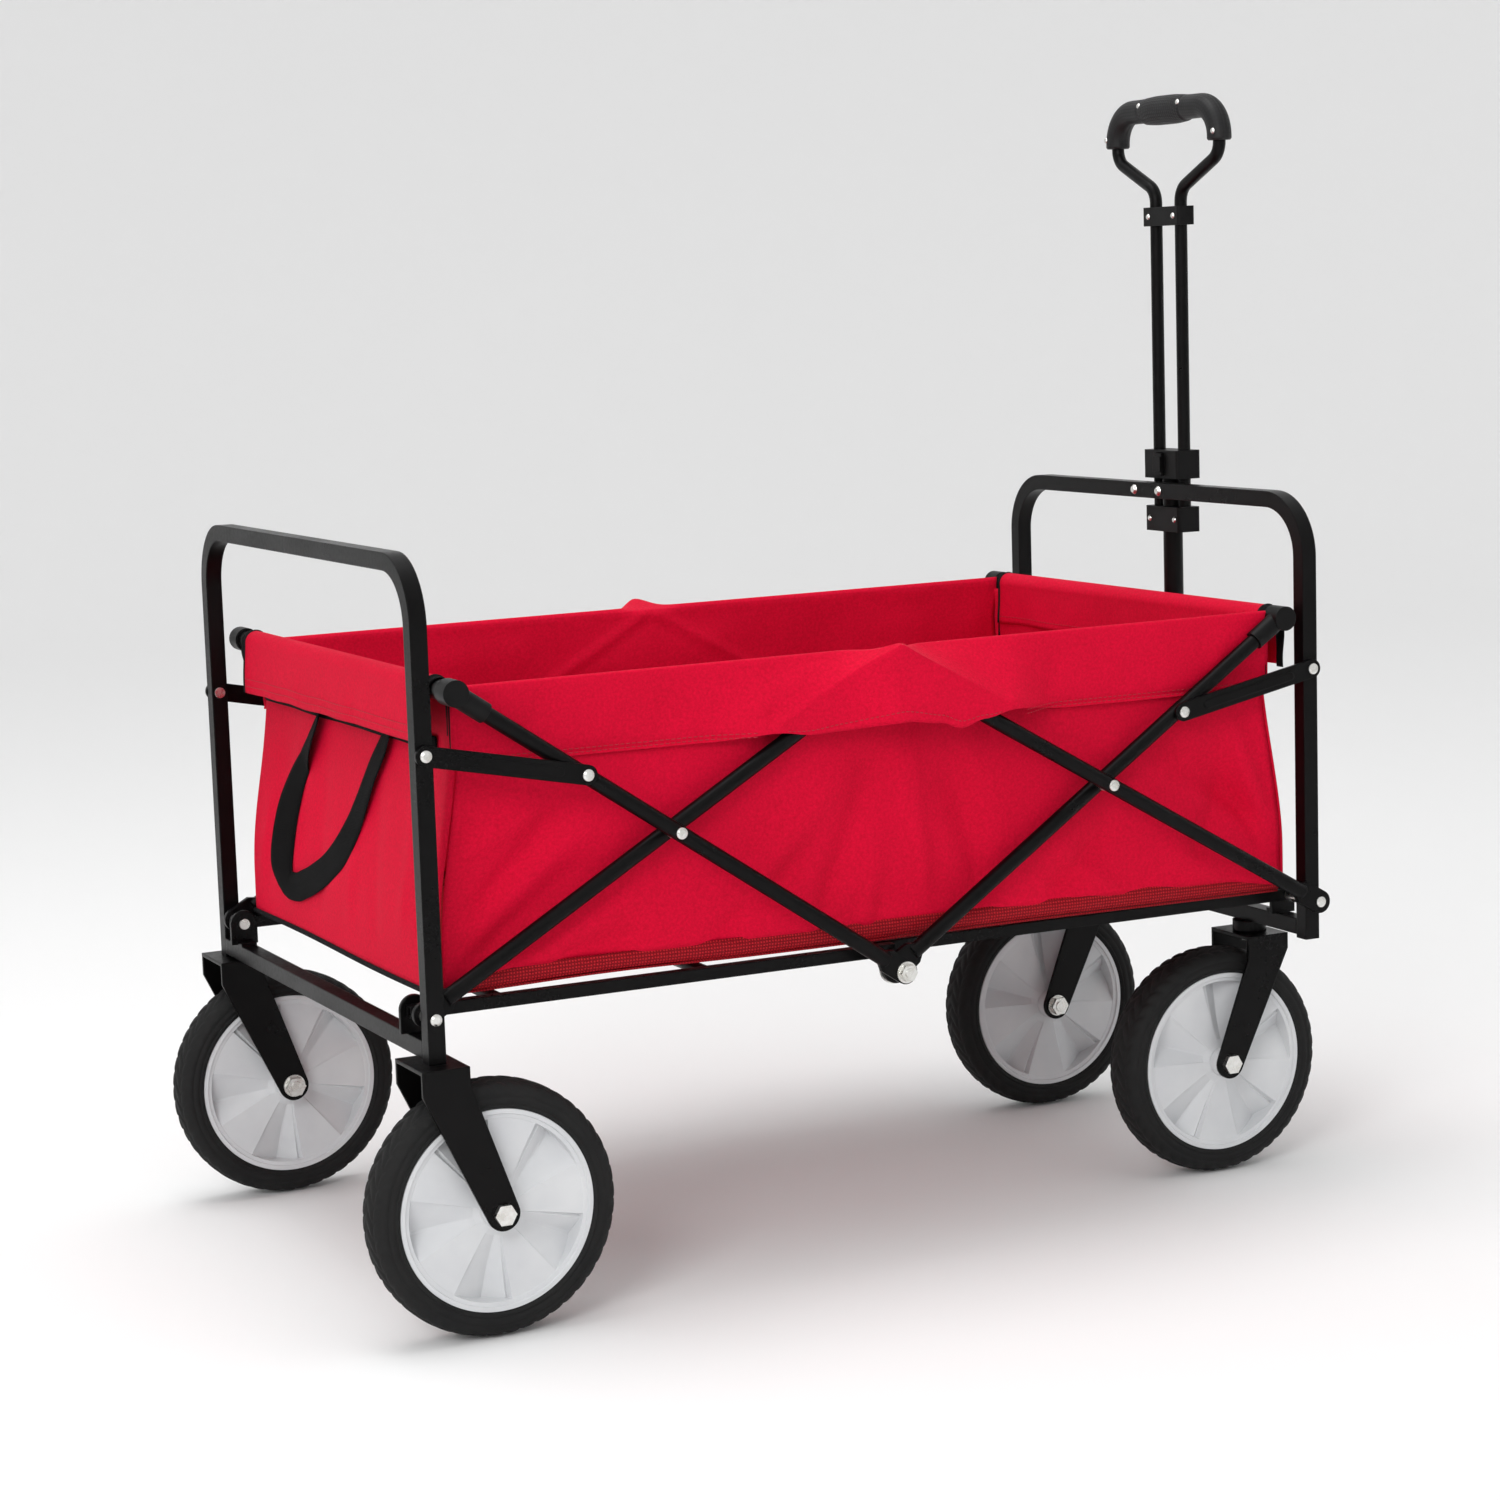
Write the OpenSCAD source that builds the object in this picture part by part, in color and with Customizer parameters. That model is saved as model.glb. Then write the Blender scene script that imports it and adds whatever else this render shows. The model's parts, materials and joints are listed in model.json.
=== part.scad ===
// Folding camp wagon with a scissor frame, fixed rear wheels, front casters and a telescoping pull handle.
// +X is forward (the pull handle), +Y is left, +Z is up, and the floor is z = 0.

/* [Frame] */
// Half the distance between the rear and the front post axes
half_l = 412; // [390:1:440]
// Side of the square frame tube
post = 14; // [12:1:16]
// Height of the frame tops
frame_h = 611; // [590:1:640]
// Lateral distance of the outer linkage plane (rear posts)
plane_1 = 254; // [244:1:264]
// Lateral step from one linkage plane to the next
pitch = 16.6; // [16.4:0.1:17]
// Radius of the frame's upper corners, at the tube's centre
corner_r = 48; // [40:1:60]
// Height of the foot pivots
foot_z = 256; // [250:1:262]

/* [Linkage] */
// Diameter of the round bars
bar_d = 13; // [12:0.5:13]
// Distance of each crossing pivot from mid-length
cross_x = 200; // [190:1:210]
// Height of the crossing pivots
cross_z = 379; // [370:1:390]
// Height of the middle foot pivots
mid_z = 243; // [238:1:250]
// Distance of the upper crossbars inboard of the post axes
inset = 27; // [26:1:32]
// Height of the link pivots on the posts
link_z = 459.5; // [450:0.5:470]
// Distance from a crossing pivot up the bar to the link's inner rivet
link_d = 96; // [90:1:105]

/* [Wheels] */
// Wheel radius
wheel_r = 101.6; // [95:0.1:105]
// Tyre width
tyre_w = 38.8; // [34:0.2:42]
// Radius of the rim's visible edge
rim_r = 80.4; // [74:0.2:84]
// Distance of the axles inboard of the post axes
axle_in = 41.6; // [36:0.2:46]
// Lateral distance of the rear wheels' middle
rear_track = 250; // [246:1:254]
// Lateral distance of the front casters' middle
front_track = 148; // [147:1:152]

/* [Handle] */
// Distance of the handle forward of the front post axis
handle_out = 22; // [20:1:26]
// Radius of the handle's centre tube
centre_r = 9; // [8:0.5:10]
// Radius of the looped handle tube
rod_r = 5.7; // [5:0.1:6]
// Lateral distance of the two handle rods
rod_y = 20.3; // [19:0.1:22]
// Lateral distance of the loop at the grip
loop_y = 83.4; // [70:0.2:90]
// Height of the grip's centre line
grip_z = 950; // [920:1:980]

/* [Tub] */
// Lateral distance of the tub's outer face
tub_y = 226; // [220:1:227]
// Height of the tub's rim
tub_top = 511; // [500:1:515]
// Height of the tub's underside
tub_bottom = 266; // [264:1:270]
// Thickness of the fabric
cloth_t = 3; // [2:0.5:3]

/* [Hidden] */
$fn = 64;

// Linkage planes, from the outside in
plane_2 = plane_1 - pitch;
plane_3 = plane_2 - pitch;
plane_4 = plane_3 - 14.6;
bar_r = bar_d / 2;
wall = 1.4;
gap = 0.3;
// Fasteners: rivets, bolts, and the running fit around both
rivet_r = 3;
bolt_r = 4;
fit = 0.05;
head_r = 4.7;
head_t = 2.2;
sleeve_r = 6;
// Bar ends are flattened to tongues
tongue_t = 5;
tongue_r = 10;
tongue_l = 20;
taper_l = 7;
taper_r = 5;
bore_in = 9;
// The middle feet slide a little in the fold, so the inner foot's hole is wide
open_r = 8.5;
open_tongue_r = 12;

// Linkage points in the XZ plane, given for the rear half; the front half is the mirror image
foot = [-half_l, foot_z];
cross = [-cross_x, cross_z];
peak_z = foot_z + half_l * (cross_z - foot_z) / (half_l - cross_x);
peak = [0, peak_z];
middle = [0, mid_z];
slope = (cross_z - mid_z) / cross_x;
corner = [-half_l + inset, cross_z + slope * (half_l - inset - cross_x)];
link_foot = [-half_l, link_z];
link_end = cross + link_d * unit(corner - cross);
plane_out = plane_1 + post / 2;

// Lower frame
frame_bottom = 221;
beam_z = 231;
beam_top = beam_z + post / 2;
rail_w = 10;
stub_t = 4;
rear_stub_y = plane_3 - rail_w / 2 - gap - stub_t;
front_stub_y = plane_4 - rail_w / 2 - gap - stub_t;

// Forks
fork_t = 3;
fork_w = 58.8;
rear_plate_z = frame_bottom;
front_plate_z = 214;
axle_r = 5;
fork_end_r = 13.5;

// Upper crossbars
beam_r = 8;
cap_t = 2;

// Handle
handle_x = half_l + handle_out;
guide_z0 = 614;
guide_z1 = 640;
slide_z0 = 565;
slide_z1 = 588;
clamp_z0 = 845;
clamp_z1 = 862;
block_y = 28;
block_x = 13;
bend_a = 65;
bend_r = 17;
grip_bend_r = 28;
grip_r = 11;
grip_z0 = 918;
bend_z0 = 866;
bend_l = (loop_y - rod_y - 2 * bend_r * (1 - cos(bend_a))) / sin(bend_a);
bend_z1 = bend_z0 + 2 * bend_r * sin(bend_a) + bend_l * cos(bend_a);

function unit(v) = v / norm(v);
function flip(p, end) = [end * p[0], p[1]];
function side_of(s) = s > 0 ? 0 : 1;

black = [0.06, 0.06, 0.065];
plastic = [0.09, 0.09, 0.1];
zinc = [0.72, 0.72, 0.7];
red = [0.8, 0.05, 0.1];
white = [0.88, 0.89, 0.9];
rubber = [0.05, 0.05, 0.05];

// Children are made for the left side (+Y) and mirrored to the side s
module on_side(s) mirror([0, side_of(s), 0]) children();

// A 2D shape in x and z becomes a slab from y0 to y1
module slab(y0, y1) translate([0, y1, 0]) rotate([90, 0, 0]) linear_extrude(y1 - y0) children();

// A cylinder along Y at the point p = [x, z]
module pin(p, y0, y1, r) translate([p[0], y0, p[1]]) rotate([-90, 0, 0]) cylinder(r = r, h = y1 - y0);

module hex_head(p, y0, y1, r) translate([p[0], y0, p[1]]) rotate([-90, 0, 0]) cylinder(r = r, h = y1 - y0, $fn = 6);

// A domed rivet head that stands outward from y
module dome(p, y, r = head_r, t = head_t) {
  translate([p[0], y, p[1]]) rotate([-90, 0, 0]) {
    cylinder(r = r, h = t / 2);
    translate([0, 0, t / 2]) cylinder(r1 = r, r2 = r * 0.6, h = t / 2);
  }
}

// A rivet from y0 to y1 with a flat head inboard and a domed one outboard
module rivet(p, y0, y1) {
  pin(p, y0, y1, rivet_r);
  pin(p, y0 - head_t / 2, y0, head_r);
  dome(p, y1);
}

module ring(p, y0, y1, r_out, r_in) {
  difference() {
    pin(p, y0, y1, r_out);
    pin(p, y0 - 1, y1 + 1, r_in);
  }
}

// A flat bar between two points with round ends, as a 2D shape
module stadium(p, q, r) {
  d = unit(q - p);
  n = [-d[1], d[0]] * r;
  polygon([p + n, q + n, q - n, p - n]);
  translate(p) circle(r);
  translate(q) circle(r);
}

// A round tube from p to q in the plane y
module tube_between(p, q, y, r) {
  d = q - p;
  translate([p[0], y, p[1]]) rotate([0, atan2(d[0], d[1]), 0]) cylinder(r = r, h = norm(d));
}

// The flattened end of a bar: round about the pivot p, narrowing to end inside the tube
module tongue(p, d, y, r) {
  n = [-d[1], d[0]];
  a = p + d * tongue_l;
  b = a + d * taper_l;
  slab(y - tongue_t / 2, y + tongue_t / 2) {
    translate(p) circle(r);
    polygon([p + n * r, a + n * tongue_r, b + n * taper_r, b - n * taper_r, a - n * tongue_r, p - n * r]);
  }
}

// One linkage bar: a round tube with a flattened tongue at p and, unless plain, one at q
module bar(p, q, y, r_p, r_q, tip_r = tongue_r, plain = false) {
  d = unit(q - p);
  a = p + d * tongue_l;
  b = plain ? q : q - d * tongue_l;
  difference() {
    union() {
      tube_between(a, b, y, bar_r);
      tongue(p, d, y, tip_r);
      if (!plain) tongue(q, -d, y, tongue_r);
    }
    tube_between(a + d * bore_in, b - d * (plain ? -1 : bore_in), y, bar_r - wall);
    pin(p, y - bar_d, y + bar_d, r_p);
    if (!plain) pin(q, y - bar_d, y + bar_d, r_q);
    children();
  }
}

// ---- U-frames: two posts and a top bar in one bent square tube
module square_ring(s) difference() {
  square(s, center = true);
  square(s - 2 * wall, center = true);
}

module u_frame(x, y, rivets) {
  straight_z = frame_h - post / 2 - corner_r;
  difference() {
    union() {
      for (s = [-1, 1]) {
        translate([x, s * y, frame_bottom]) linear_extrude(straight_z - frame_bottom) square_ring(post);
        translate([x, s * (y - corner_r), straight_z]) rotate([90, 0, s > 0 ? 90 : -90])
          rotate_extrude(angle = 90) translate([corner_r, 0]) square_ring(post);
      }
      translate([x, y - corner_r, frame_h - post / 2]) rotate([90, 0, 0])
        linear_extrude(2 * (y - corner_r)) square_ring(post);
    }
    for (s = [-1, 1]) on_side(s) for (z = [foot_z, link_z])
      pin([x, z], y - post, y + post, rivet_r);
    for (r = rivets) translate([x - post, r, frame_h - post / 2]) rotate([0, 90, 0])
      cylinder(r = rivet_r, h = 2 * post);
  }
}

module rear_push_frame() color(black) u_frame(-half_l, plane_1, []);

module front_frame() color(black) u_frame(half_l, plane_2, clip_rivet_y);

// ---- Lower crossbars with the stub brackets that stand on them
module stub(x, y) {
  difference() {
    union() {
      slab(y, y + stub_t) {
        translate([x - 12, beam_top]) square([24, foot_z - beam_top]);
        translate([x, foot_z]) circle(12);
      }
      translate([x - 7, y - 12, beam_top]) cube([14, 12, stub_t - 1]);
    }
    pin([x, foot_z], y - 1, y + stub_t + 1, rivet_r);
  }
}

module crossbar(x, half, stub_y) {
  translate([x, half, beam_z]) rotate([90, 0, 0]) linear_extrude(2 * half) square_ring(post);
  for (s = [-1, 1]) on_side(s) stub(x, stub_y);
}

module rear_crossbar() color(black) crossbar(-half_l, plane_1 - post / 2, rear_stub_y);

collar_r = 15;
module front_crossbar() color(black) {
  crossbar(half_l, plane_2 - post / 2, front_stub_y);
  for (s = [-1, 1]) translate([half_l, s * front_track, front_plate_z + gap]) difference() {
    cylinder(r = collar_r, h = beam_z - post / 2 - front_plate_z - gap);
    translate([0, 0, -1]) cylinder(r = axle_r, h = 20);
  }
}

// ---- Wheel forks: a top plate and two arms that lean inboard of the post to the axle
module fork_arm(x, top, w0, w1) {
  axle = [x[1], wheel_r];
  top_mid = [x[0], top - 20];
  d = unit(axle - top_mid);
  n = [-d[1], d[0]] * fork_end_r;
  polygon([[x[0] + w0, top], [x[0] + w1, top], [x[0] + w1, top - 14], axle + n, axle - n, [x[0] + w0, top - 20]]);
  translate(axle) circle(fork_end_r);
}

module fork(post_x, axle_x, y, top, w0, w1, pin_r) {
  half = fork_w / 2;
  difference() {
    union() {
      for (s = [-1, 1]) {
        y_in = y + s * half - (s > 0 ? fork_t : 0);
        slab(y_in, y_in + fork_t) fork_arm([post_x, axle_x], top, w0, w1);
      }
      translate([post_x + w0, y - half, top - fork_t]) cube([w1 - w0, fork_w, fork_t]);
    }
    pin([axle_x, wheel_r], y - half - 1, y + half + 1, axle_r);
    if (pin_r > 0) translate([post_x, y, top - 2 * fork_t]) cylinder(r = pin_r, h = 3 * fork_t);
  }
}

module rear_fork(s) color(black) on_side(s)
  fork(-half_l, -half_l + axle_in, rear_track, rear_plate_z, -20, 19, 0);

module front_fork(s) color(black) on_side(s)
  fork(half_l, half_l - axle_in, front_track, front_plate_z, -21, 21, axle_r + fit);

// ---- Axle bolts: hexagon head outboard, nut inboard
module axle_bolt(x, y) {
  p = [x, wheel_r];
  half = fork_w / 2;
  pin(p, y - half - 8, y + half, axle_r);
  hex_head(p, y + half, y + half + 5, 9);
  ring(p, y - half - 1.2, y - half, 10, axle_r);
  difference() {
    hex_head(p, y - half - 7, y - half - 1.2, 9);
    pin(p, y - half - 8, y - half, axle_r);
  }
}

module rear_axle_bolts() color(zinc) for (s = [-1, 1]) on_side(s) axle_bolt(-half_l + axle_in, rear_track);

module front_axle_bolt(s) color(zinc) on_side(s) axle_bolt(half_l - axle_in, front_track);

// ---- Wheels
hub_gap = 1;
module tyre(x, y) color(rubber) {
  w = tyre_w / 2;
  translate([x, y, wheel_r]) rotate([90, 0, 0]) rotate_extrude($fn = 128) difference() {
    union() {
      translate([rim_r - 4, -w]) square([wheel_r - rim_r - 4, tyre_w]);
      translate([rim_r, -w + 8]) square([wheel_r - rim_r, tyre_w - 16]);
      for (s = [-1, 1]) translate([wheel_r - 8, s * (w - 8)]) circle(8);
    }
    translate([rim_r - 5, -w + 4]) square([5, tyre_w - 8]);
    for (s = [-1, 1]) translate([rim_r - 5, s > 0 ? w - 4 : -w - 1]) square([5, 5]);
  }
}

module rim(x, y) color(white) {
  w = tyre_w / 2;
  hub_w = fork_w / 2 - fork_t - hub_gap;
  translate([x, y, wheel_r]) rotate([90, 0, 0]) rotate_extrude($fn = 128) {
    translate([rim_r - 6, -w + 2]) square([6, tyre_w - 4]);
    translate([13, -11]) square([rim_r - 15, 22]);
    translate([axle_r + fit, -hub_w]) square([12, 2 * hub_w]);
  }
}

// ---- Kingpins of the casters, fixed in the crossbar's collars
module caster_kingpins() color(zinc) for (s = [-1, 1]) translate([half_l, s * front_track, 0]) {
  translate([0, 0, front_plate_z - 9]) cylinder(r = axle_r, h = beam_z - post / 2 - front_plate_z + 9);
  translate([0, 0, front_plate_z - fork_t - gap - 5]) cylinder(r = 8, h = 5, $fn = 6);
}

// ---- Fasteners on the frames
module foot_bolt(end, y_stub, y_out) {
  p = flip(foot, end);
  pin(p, y_stub, y_out, rivet_r);
  pin(p, y_stub - head_t, y_stub, head_r);
  dome(p, y_out);
}

module rear_foot_bolts() color(zinc) for (s = [-1, 1]) on_side(s) {
  foot_bolt(1, rear_stub_y, plane_out);
  ring(foot, plane_2 + tongue_t / 2 + gap, plane_1 - post / 2, sleeve_r, rivet_r);
  ring(foot, plane_3 + rail_w / 2 + gap, plane_2 - tongue_t / 2 - gap, sleeve_r, rivet_r);
}

module front_foot_bolts() color(zinc) for (s = [-1, 1]) on_side(s) {
  foot_bolt(-1, front_stub_y, plane_1 + tongue_t / 2 + gap);
  ring(flip(foot, -1), plane_2 + post / 2, plane_1 - tongue_t / 2 - gap, sleeve_r, rivet_r);
  ring(flip(foot, -1), plane_4 + rail_w / 2 + gap, plane_2 - post / 2, sleeve_r, rivet_r);
}

link_t = 3;
rear_link_y = plane_out + 0.5;
front_link_y = plane_2 + post / 2 + 0.5;
module post_rivet(end, post_y, link_y) rivet(flip(link_foot, end), post_y - post / 2, link_y + link_t + gap);

module rear_post_rivets() color(zinc) for (s = [-1, 1]) on_side(s) post_rivet(1, plane_1, rear_link_y);

clip_y = 0;
clip_rivet_y = [clip_y - 20, clip_y + 20];
module front_frame_rivets() color(zinc) {
  for (s = [-1, 1]) on_side(s) post_rivet(-1, plane_2, front_link_y);
  for (y = clip_rivet_y) translate([half_l - post / 2, y, frame_h - post / 2]) rotate([0, 90, 0]) {
    translate([0, 0, -head_t]) cylinder(r1 = head_r * 0.6, r2 = head_r, h = head_t);
    cylinder(r = rivet_r, h = post + clip_t);
    translate([0, 0, post + clip_t]) cylinder(r = 4, h = 1);
  }
}

// ---- Holder clip on the front top bar: a back plate and two spring arms around the centre tube
clip_t = 1.6;
module handle_clip() color(plastic) {
  z = frame_h - post;
  x = half_l + post / 2;
  translate([x, -27, z + 1]) difference() {
    cube([clip_t, 54, post - 2]);
    for (y = clip_rivet_y) translate([-1, y + 27, post / 2 - 1]) rotate([0, 90, 0]) cylinder(r = rivet_r, h = 5);
  }
  for (s = [-1, 1]) {
    translate([x, s > 0 ? centre_r + gap : -centre_r - gap - 2, z + 1]) cube([handle_out - post / 2 + 4, 2, post - 2]);
  }
}

// ---- Handle bracket: two ears on the front crossbar, and the pivot bolt through them
ear_t = 3;
ear_y = centre_r + 1;
module handle_bracket() color(black) {
  x0 = half_l + post / 2;
  difference() {
    union() {
      translate([x0, -ear_y - ear_t, beam_z - 7]) cube([2.5, 2 * (ear_y + ear_t), 14]);
      for (s = [-1, 1]) on_side(s) slab(ear_y, ear_y + ear_t) {
        translate([x0, beam_z - 7]) square([handle_x - x0, 14]);
        translate([handle_x, beam_z]) circle(7);
      }
    }
    pin([handle_x, beam_z], -ear_y - 5, ear_y + 5, bolt_r);
  }
}

module handle_pivot_bolt() color(zinc) {
  p = [handle_x, beam_z];
  pin(p, -ear_y - ear_t - 7, ear_y + ear_t, bolt_r);
  hex_head(p, ear_y + ear_t, ear_y + ear_t + 4, 7);
  difference() {
    hex_head(p, -ear_y - ear_t - 6, -ear_y - ear_t, 7);
    pin(p, -ear_y - ear_t - 7, 0, bolt_r);
  }
}

// ---- Linkage bars
module rear_lower_bar(s) color(black) on_side(s)
  bar(foot, peak, plane_2, rivet_r + fit, rivet_r + fit) pin(cross, plane_2 - bar_d, plane_2 + bar_d, rivet_r);

module front_lower_bar(s) color(black) on_side(s)
  bar(flip(foot, -1), peak, plane_1, rivet_r + fit, rivet_r)
    pin(flip(cross, -1), plane_1 - bar_d, plane_1 + bar_d, rivet_r);

module rear_upper_bar(s) color(black) on_side(s)
  bar(middle, corner - 8 * unit(corner - cross), plane_1, bolt_r, 0, tongue_r, true)
    pin(cross, plane_1 - bar_d, plane_1 + bar_d, rivet_r + fit);

module front_upper_bar(s) color(black) on_side(s)
  bar(middle, flip(corner - 8 * unit(corner - cross), -1), plane_2, open_r, 0, open_tongue_r, true)
    pin(flip(cross, -1), plane_2 - bar_d, plane_2 + bar_d, rivet_r + fit);

// ---- Crossing rivets, fixed in the lower bars
module cross_rivet(end) {
  p = flip(cross, end);
  rivet(p, plane_2 - bar_r, plane_1 + bar_r + gap);
}

module rear_cross_rivets() color(zinc) for (s = [-1, 1]) on_side(s) {
  cross_rivet(1);
  ring(cross, plane_2 + bar_r, plane_1 - bar_r - gap, sleeve_r, rivet_r);
}

module front_bar_rivets() color(zinc) for (s = [-1, 1]) on_side(s) {
  rivet(flip(cross, -1), plane_2 - bar_r - gap, plane_1 + bar_r);
  ring(flip(cross, -1), plane_2 + bar_r + gap, plane_1 - bar_r, sleeve_r, rivet_r);
  rivet(peak, plane_2 - tongue_t / 2 - gap, plane_1 + tongue_t / 2);
  ring(peak, plane_2 + tongue_t / 2 + gap, plane_1 - tongue_t / 2, sleeve_r, rivet_r);
}

// ---- Middle foot bolts, fixed in the rear upper bars; a wide washer holds the inner foot
module centre_bolts() color(zinc) for (s = [-1, 1]) on_side(s) {
  y_in = plane_2 - tongue_t / 2 - gap;
  y_out = plane_1 + tongue_t / 2;
  pin(middle, y_in - 5, y_out + 7, bolt_r);
  hex_head(middle, y_out + 1.2, y_out + 6, 7.5);
  pin(middle, y_out, y_out + 1.2, 9);
  pin(middle, y_in - 1.4, y_in, open_tongue_r + 1);
  hex_head(middle, y_in - 5, y_in - 1.4, 7);
  ring(middle, plane_2 + tongue_t / 2 + gap, plane_1 - tongue_t / 2, sleeve_r + 0.5, bolt_r);
}

// ---- Upper crossbars with their moulded corner connectors
module upper_crossbar(end, y) color(black) {
  p = flip(corner, end);
  difference() {
    pin(p, -y - 8, y + 8, beam_r);
    pin(p, -y - 9, y + 9, beam_r - wall);
  }
}

module rear_upper_crossbar() upper_crossbar(1, plane_1);

module front_upper_crossbar() upper_crossbar(-1, plane_2);

module connector(end, y) {
  p = flip(corner, end);
  q = flip(cross, end);
  d = unit(q - p);
  difference() {
    union() {
      pin(p, y - 9, y + 8 + cap_t, beam_r + 2.5);
      tube_between(p, p + d * 32, y, bar_r + 2);
    }
    pin(p, y - 10, y + 8, beam_r);
    tube_between(p + d * 3, p + d * 40, y, bar_r);
  }
}

module rear_connectors() color(plastic) for (s = [-1, 1]) on_side(s) connector(1, plane_1);

module front_connectors() color(plastic) for (s = [-1, 1]) on_side(s) connector(-1, plane_2);

// ---- Side links: stamped plates with a raised rib, from the posts to the upper bars
module link(end, y) {
  p = flip(link_foot, end);
  q = flip(link_end, end);
  d = unit(q - p);
  difference() {
    union() {
      slab(y, y + link_t) stadium(p, q, 8);
      slab(y + link_t, y + link_t + 1.2) stadium(p + d * 24, q - d * 24, 3.6);
    }
    pin(p, y - 1, y + 9, rivet_r + fit);
    pin(q, y - 1, y + 9, rivet_r);
  }
}

module link_rivet(end, y) {
  q = flip(link_end, end);
  pin(q, y, y + link_t, rivet_r);
  dome(q, y + link_t);
}

module rear_links() color(black) for (s = [-1, 1]) on_side(s) link(1, rear_link_y);

module front_links() color(black) for (s = [-1, 1]) on_side(s) link(-1, front_link_y);

module rear_link_rivets() color(zinc) for (s = [-1, 1]) on_side(s) link_rivet(1, rear_link_y);

module front_link_rivets() color(zinc) for (s = [-1, 1]) on_side(s) link_rivet(-1, front_link_y);

// ---- Floor rails: two square tubes joined by round cross tubes; they swing up inside the tub
rail_end = 7;
rail_cross = [70, 250];
module floor_rails(end, y) {
  difference() {
    union() {
      for (s = [-1, 1]) translate([end * (-half_l - rail_end), s * y, foot_z]) rotate([0, end * 90, 0])
        linear_extrude(half_l + 2 * rail_end) square_ring(rail_w);
      for (x = rail_cross) pin([end * (x - half_l), foot_z], -y + rail_w / 2, y - rail_w / 2, rail_w / 2);
    }
    for (s = [-1, 1]) on_side(s) {
      pin(flip(foot, end), y - rail_w, y + rail_w, rivet_r + fit);
      pin([0, foot_z], y - rail_w, y + rail_w, rivet_r);
    }
  }
  for (s = [-1, 1]) on_side(s) {
    pin([0, foot_z], y - rail_w / 2, y + rail_w / 2, rivet_r);
    dome([0, foot_z], y + rail_w / 2, head_r, 1.8);
  }
}

module rear_floor_rails() color(black) floor_rails(1, plane_3);

module front_floor_rails() color(black) floor_rails(-1, plane_4);

// ---- Pull handle
module handle_centre_tube() color(black) difference() {
  z0 = beam_z - 6.5;
  translate([handle_x, 0, z0]) cylinder(r = centre_r, h = guide_z0 + 8 - z0);
  translate([handle_x, 0, z0 + 20]) cylinder(r = centre_r - wall, h = 500);
  pin([handle_x, beam_z], -20, 20, bolt_r + fit);
}

module rounded_block(x, y, z0, z1, r = 3) translate([handle_x, 0, z0]) linear_extrude(z1 - z0) {
  square([2 * x, 2 * (y - r)], center = true);
  square([2 * (x - r), 2 * y], center = true);
  for (i = [-1, 1]) for (j = [-1, 1]) translate([i * (x - r), j * (y - r)]) circle(r);
}

button_y = 6;
button_z0 = 617;
button_z1 = 637.5;
rod_gap = 0.3;
module handle_guide_block() color(plastic) difference() {
  rounded_block(block_x, block_y, guide_z0, guide_z1);
  translate([handle_x, 0, guide_z0 - 1]) cylinder(r = centre_r, h = 9);
  for (s = [-1, 1]) translate([handle_x, s * rod_y, guide_z0 - 1]) cylinder(r = rod_r + rod_gap, h = 40);
  translate([handle_x - block_x - 1, -button_y - 0.4, button_z0 - 0.5])
    cube([5, 2 * button_y + 0.8, button_z1 - button_z0 + 1]);
}

module handle_button() color(plastic) translate([handle_x - block_x - 4.5, 0, button_z0]) {
  translate([0, -button_y, 3]) cube([4.9, 2 * button_y, button_z1 - button_z0 - 6]);
  translate([1.5, -button_y, 0]) cube([3.4, 2 * button_y, button_z1 - button_z0]);
}

module handle_slide_block() color(plastic) difference() {
  rounded_block(block_x - 1, block_y, slide_z0, slide_z1);
  translate([handle_x, 0, slide_z0 - 1]) cylinder(r = centre_r + rod_gap, h = 40);
  for (s = [-1, 1]) translate([handle_x, s * rod_y, slide_z0 + 3]) cylinder(r = rod_r, h = 40);
}

module handle_clamp() color(plastic) difference() {
  rounded_block(9, rod_y + 9.7, clamp_z0, clamp_z1);
  for (s = [-1, 1]) translate([handle_x, s * rod_y, clamp_z0 - 1]) cylinder(r = rod_r, h = 40);
}

// An arc of round section in the YZ plane: centre [y, z], from angle a0, turning by a
module yz_arc(c, big, r, a0, a) translate([handle_x, c[0], c[1]]) rotate([90, 0, 90]) rotate([0, 0, a0])
  rotate_extrude(angle = a) translate([big, 0]) circle(r);

module yz_rod(p, q, r) translate([handle_x, p[0], p[1]]) rotate([-atan2(q[0] - p[0], q[1] - p[1]), 0, 0])
  cylinder(r = r, h = norm(q - p));

// The grip's part of the loop's left side: up from z0, round the corner to the middle
module loop_top(z0, r) {
  yz_rod([loop_y, z0], [loop_y, grip_z - grip_bend_r], r);
  yz_arc([loop_y - grip_bend_r, grip_z - grip_bend_r], grip_bend_r, r, 0, 90);
  yz_rod([0, grip_z], [loop_y - grip_bend_r, grip_z], r);
}

// Points [y, z, heading] along an arc in the YZ plane
function arc_points(c, r, a0, a1, n) = [
  for (i = [0:n]) let (a = a0 + (a1 - a0) * i / n)
    [c[0] + r * cos(a), c[1] + r * sin(a), a + (a1 > a0 ? 90 : -90)]
];

// The loop's centre line: up the left rod, out, over the grip and down the right rod
bend_c0 = [rod_y + bend_r, bend_z0];
bend_c1 = [loop_y - bend_r, bend_z1];
bend_c2 = [loop_y - grip_bend_r, grip_z - grip_bend_r];
loop_half = concat(
  [[rod_y, slide_z0 + 3, 90]],
  arc_points(bend_c0, bend_r, 180, 180 - bend_a, 8),
  arc_points(bend_c1, bend_r, -bend_a, 0, 8),
  arc_points(bend_c2, grip_bend_r, 0, 90, 10)
);
loop_path = concat(
  loop_half,
  [for (i = [len(loop_half) - 1:-1:0]) [-loop_half[i][0], loop_half[i][1], -loop_half[i][2]]]
);

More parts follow.
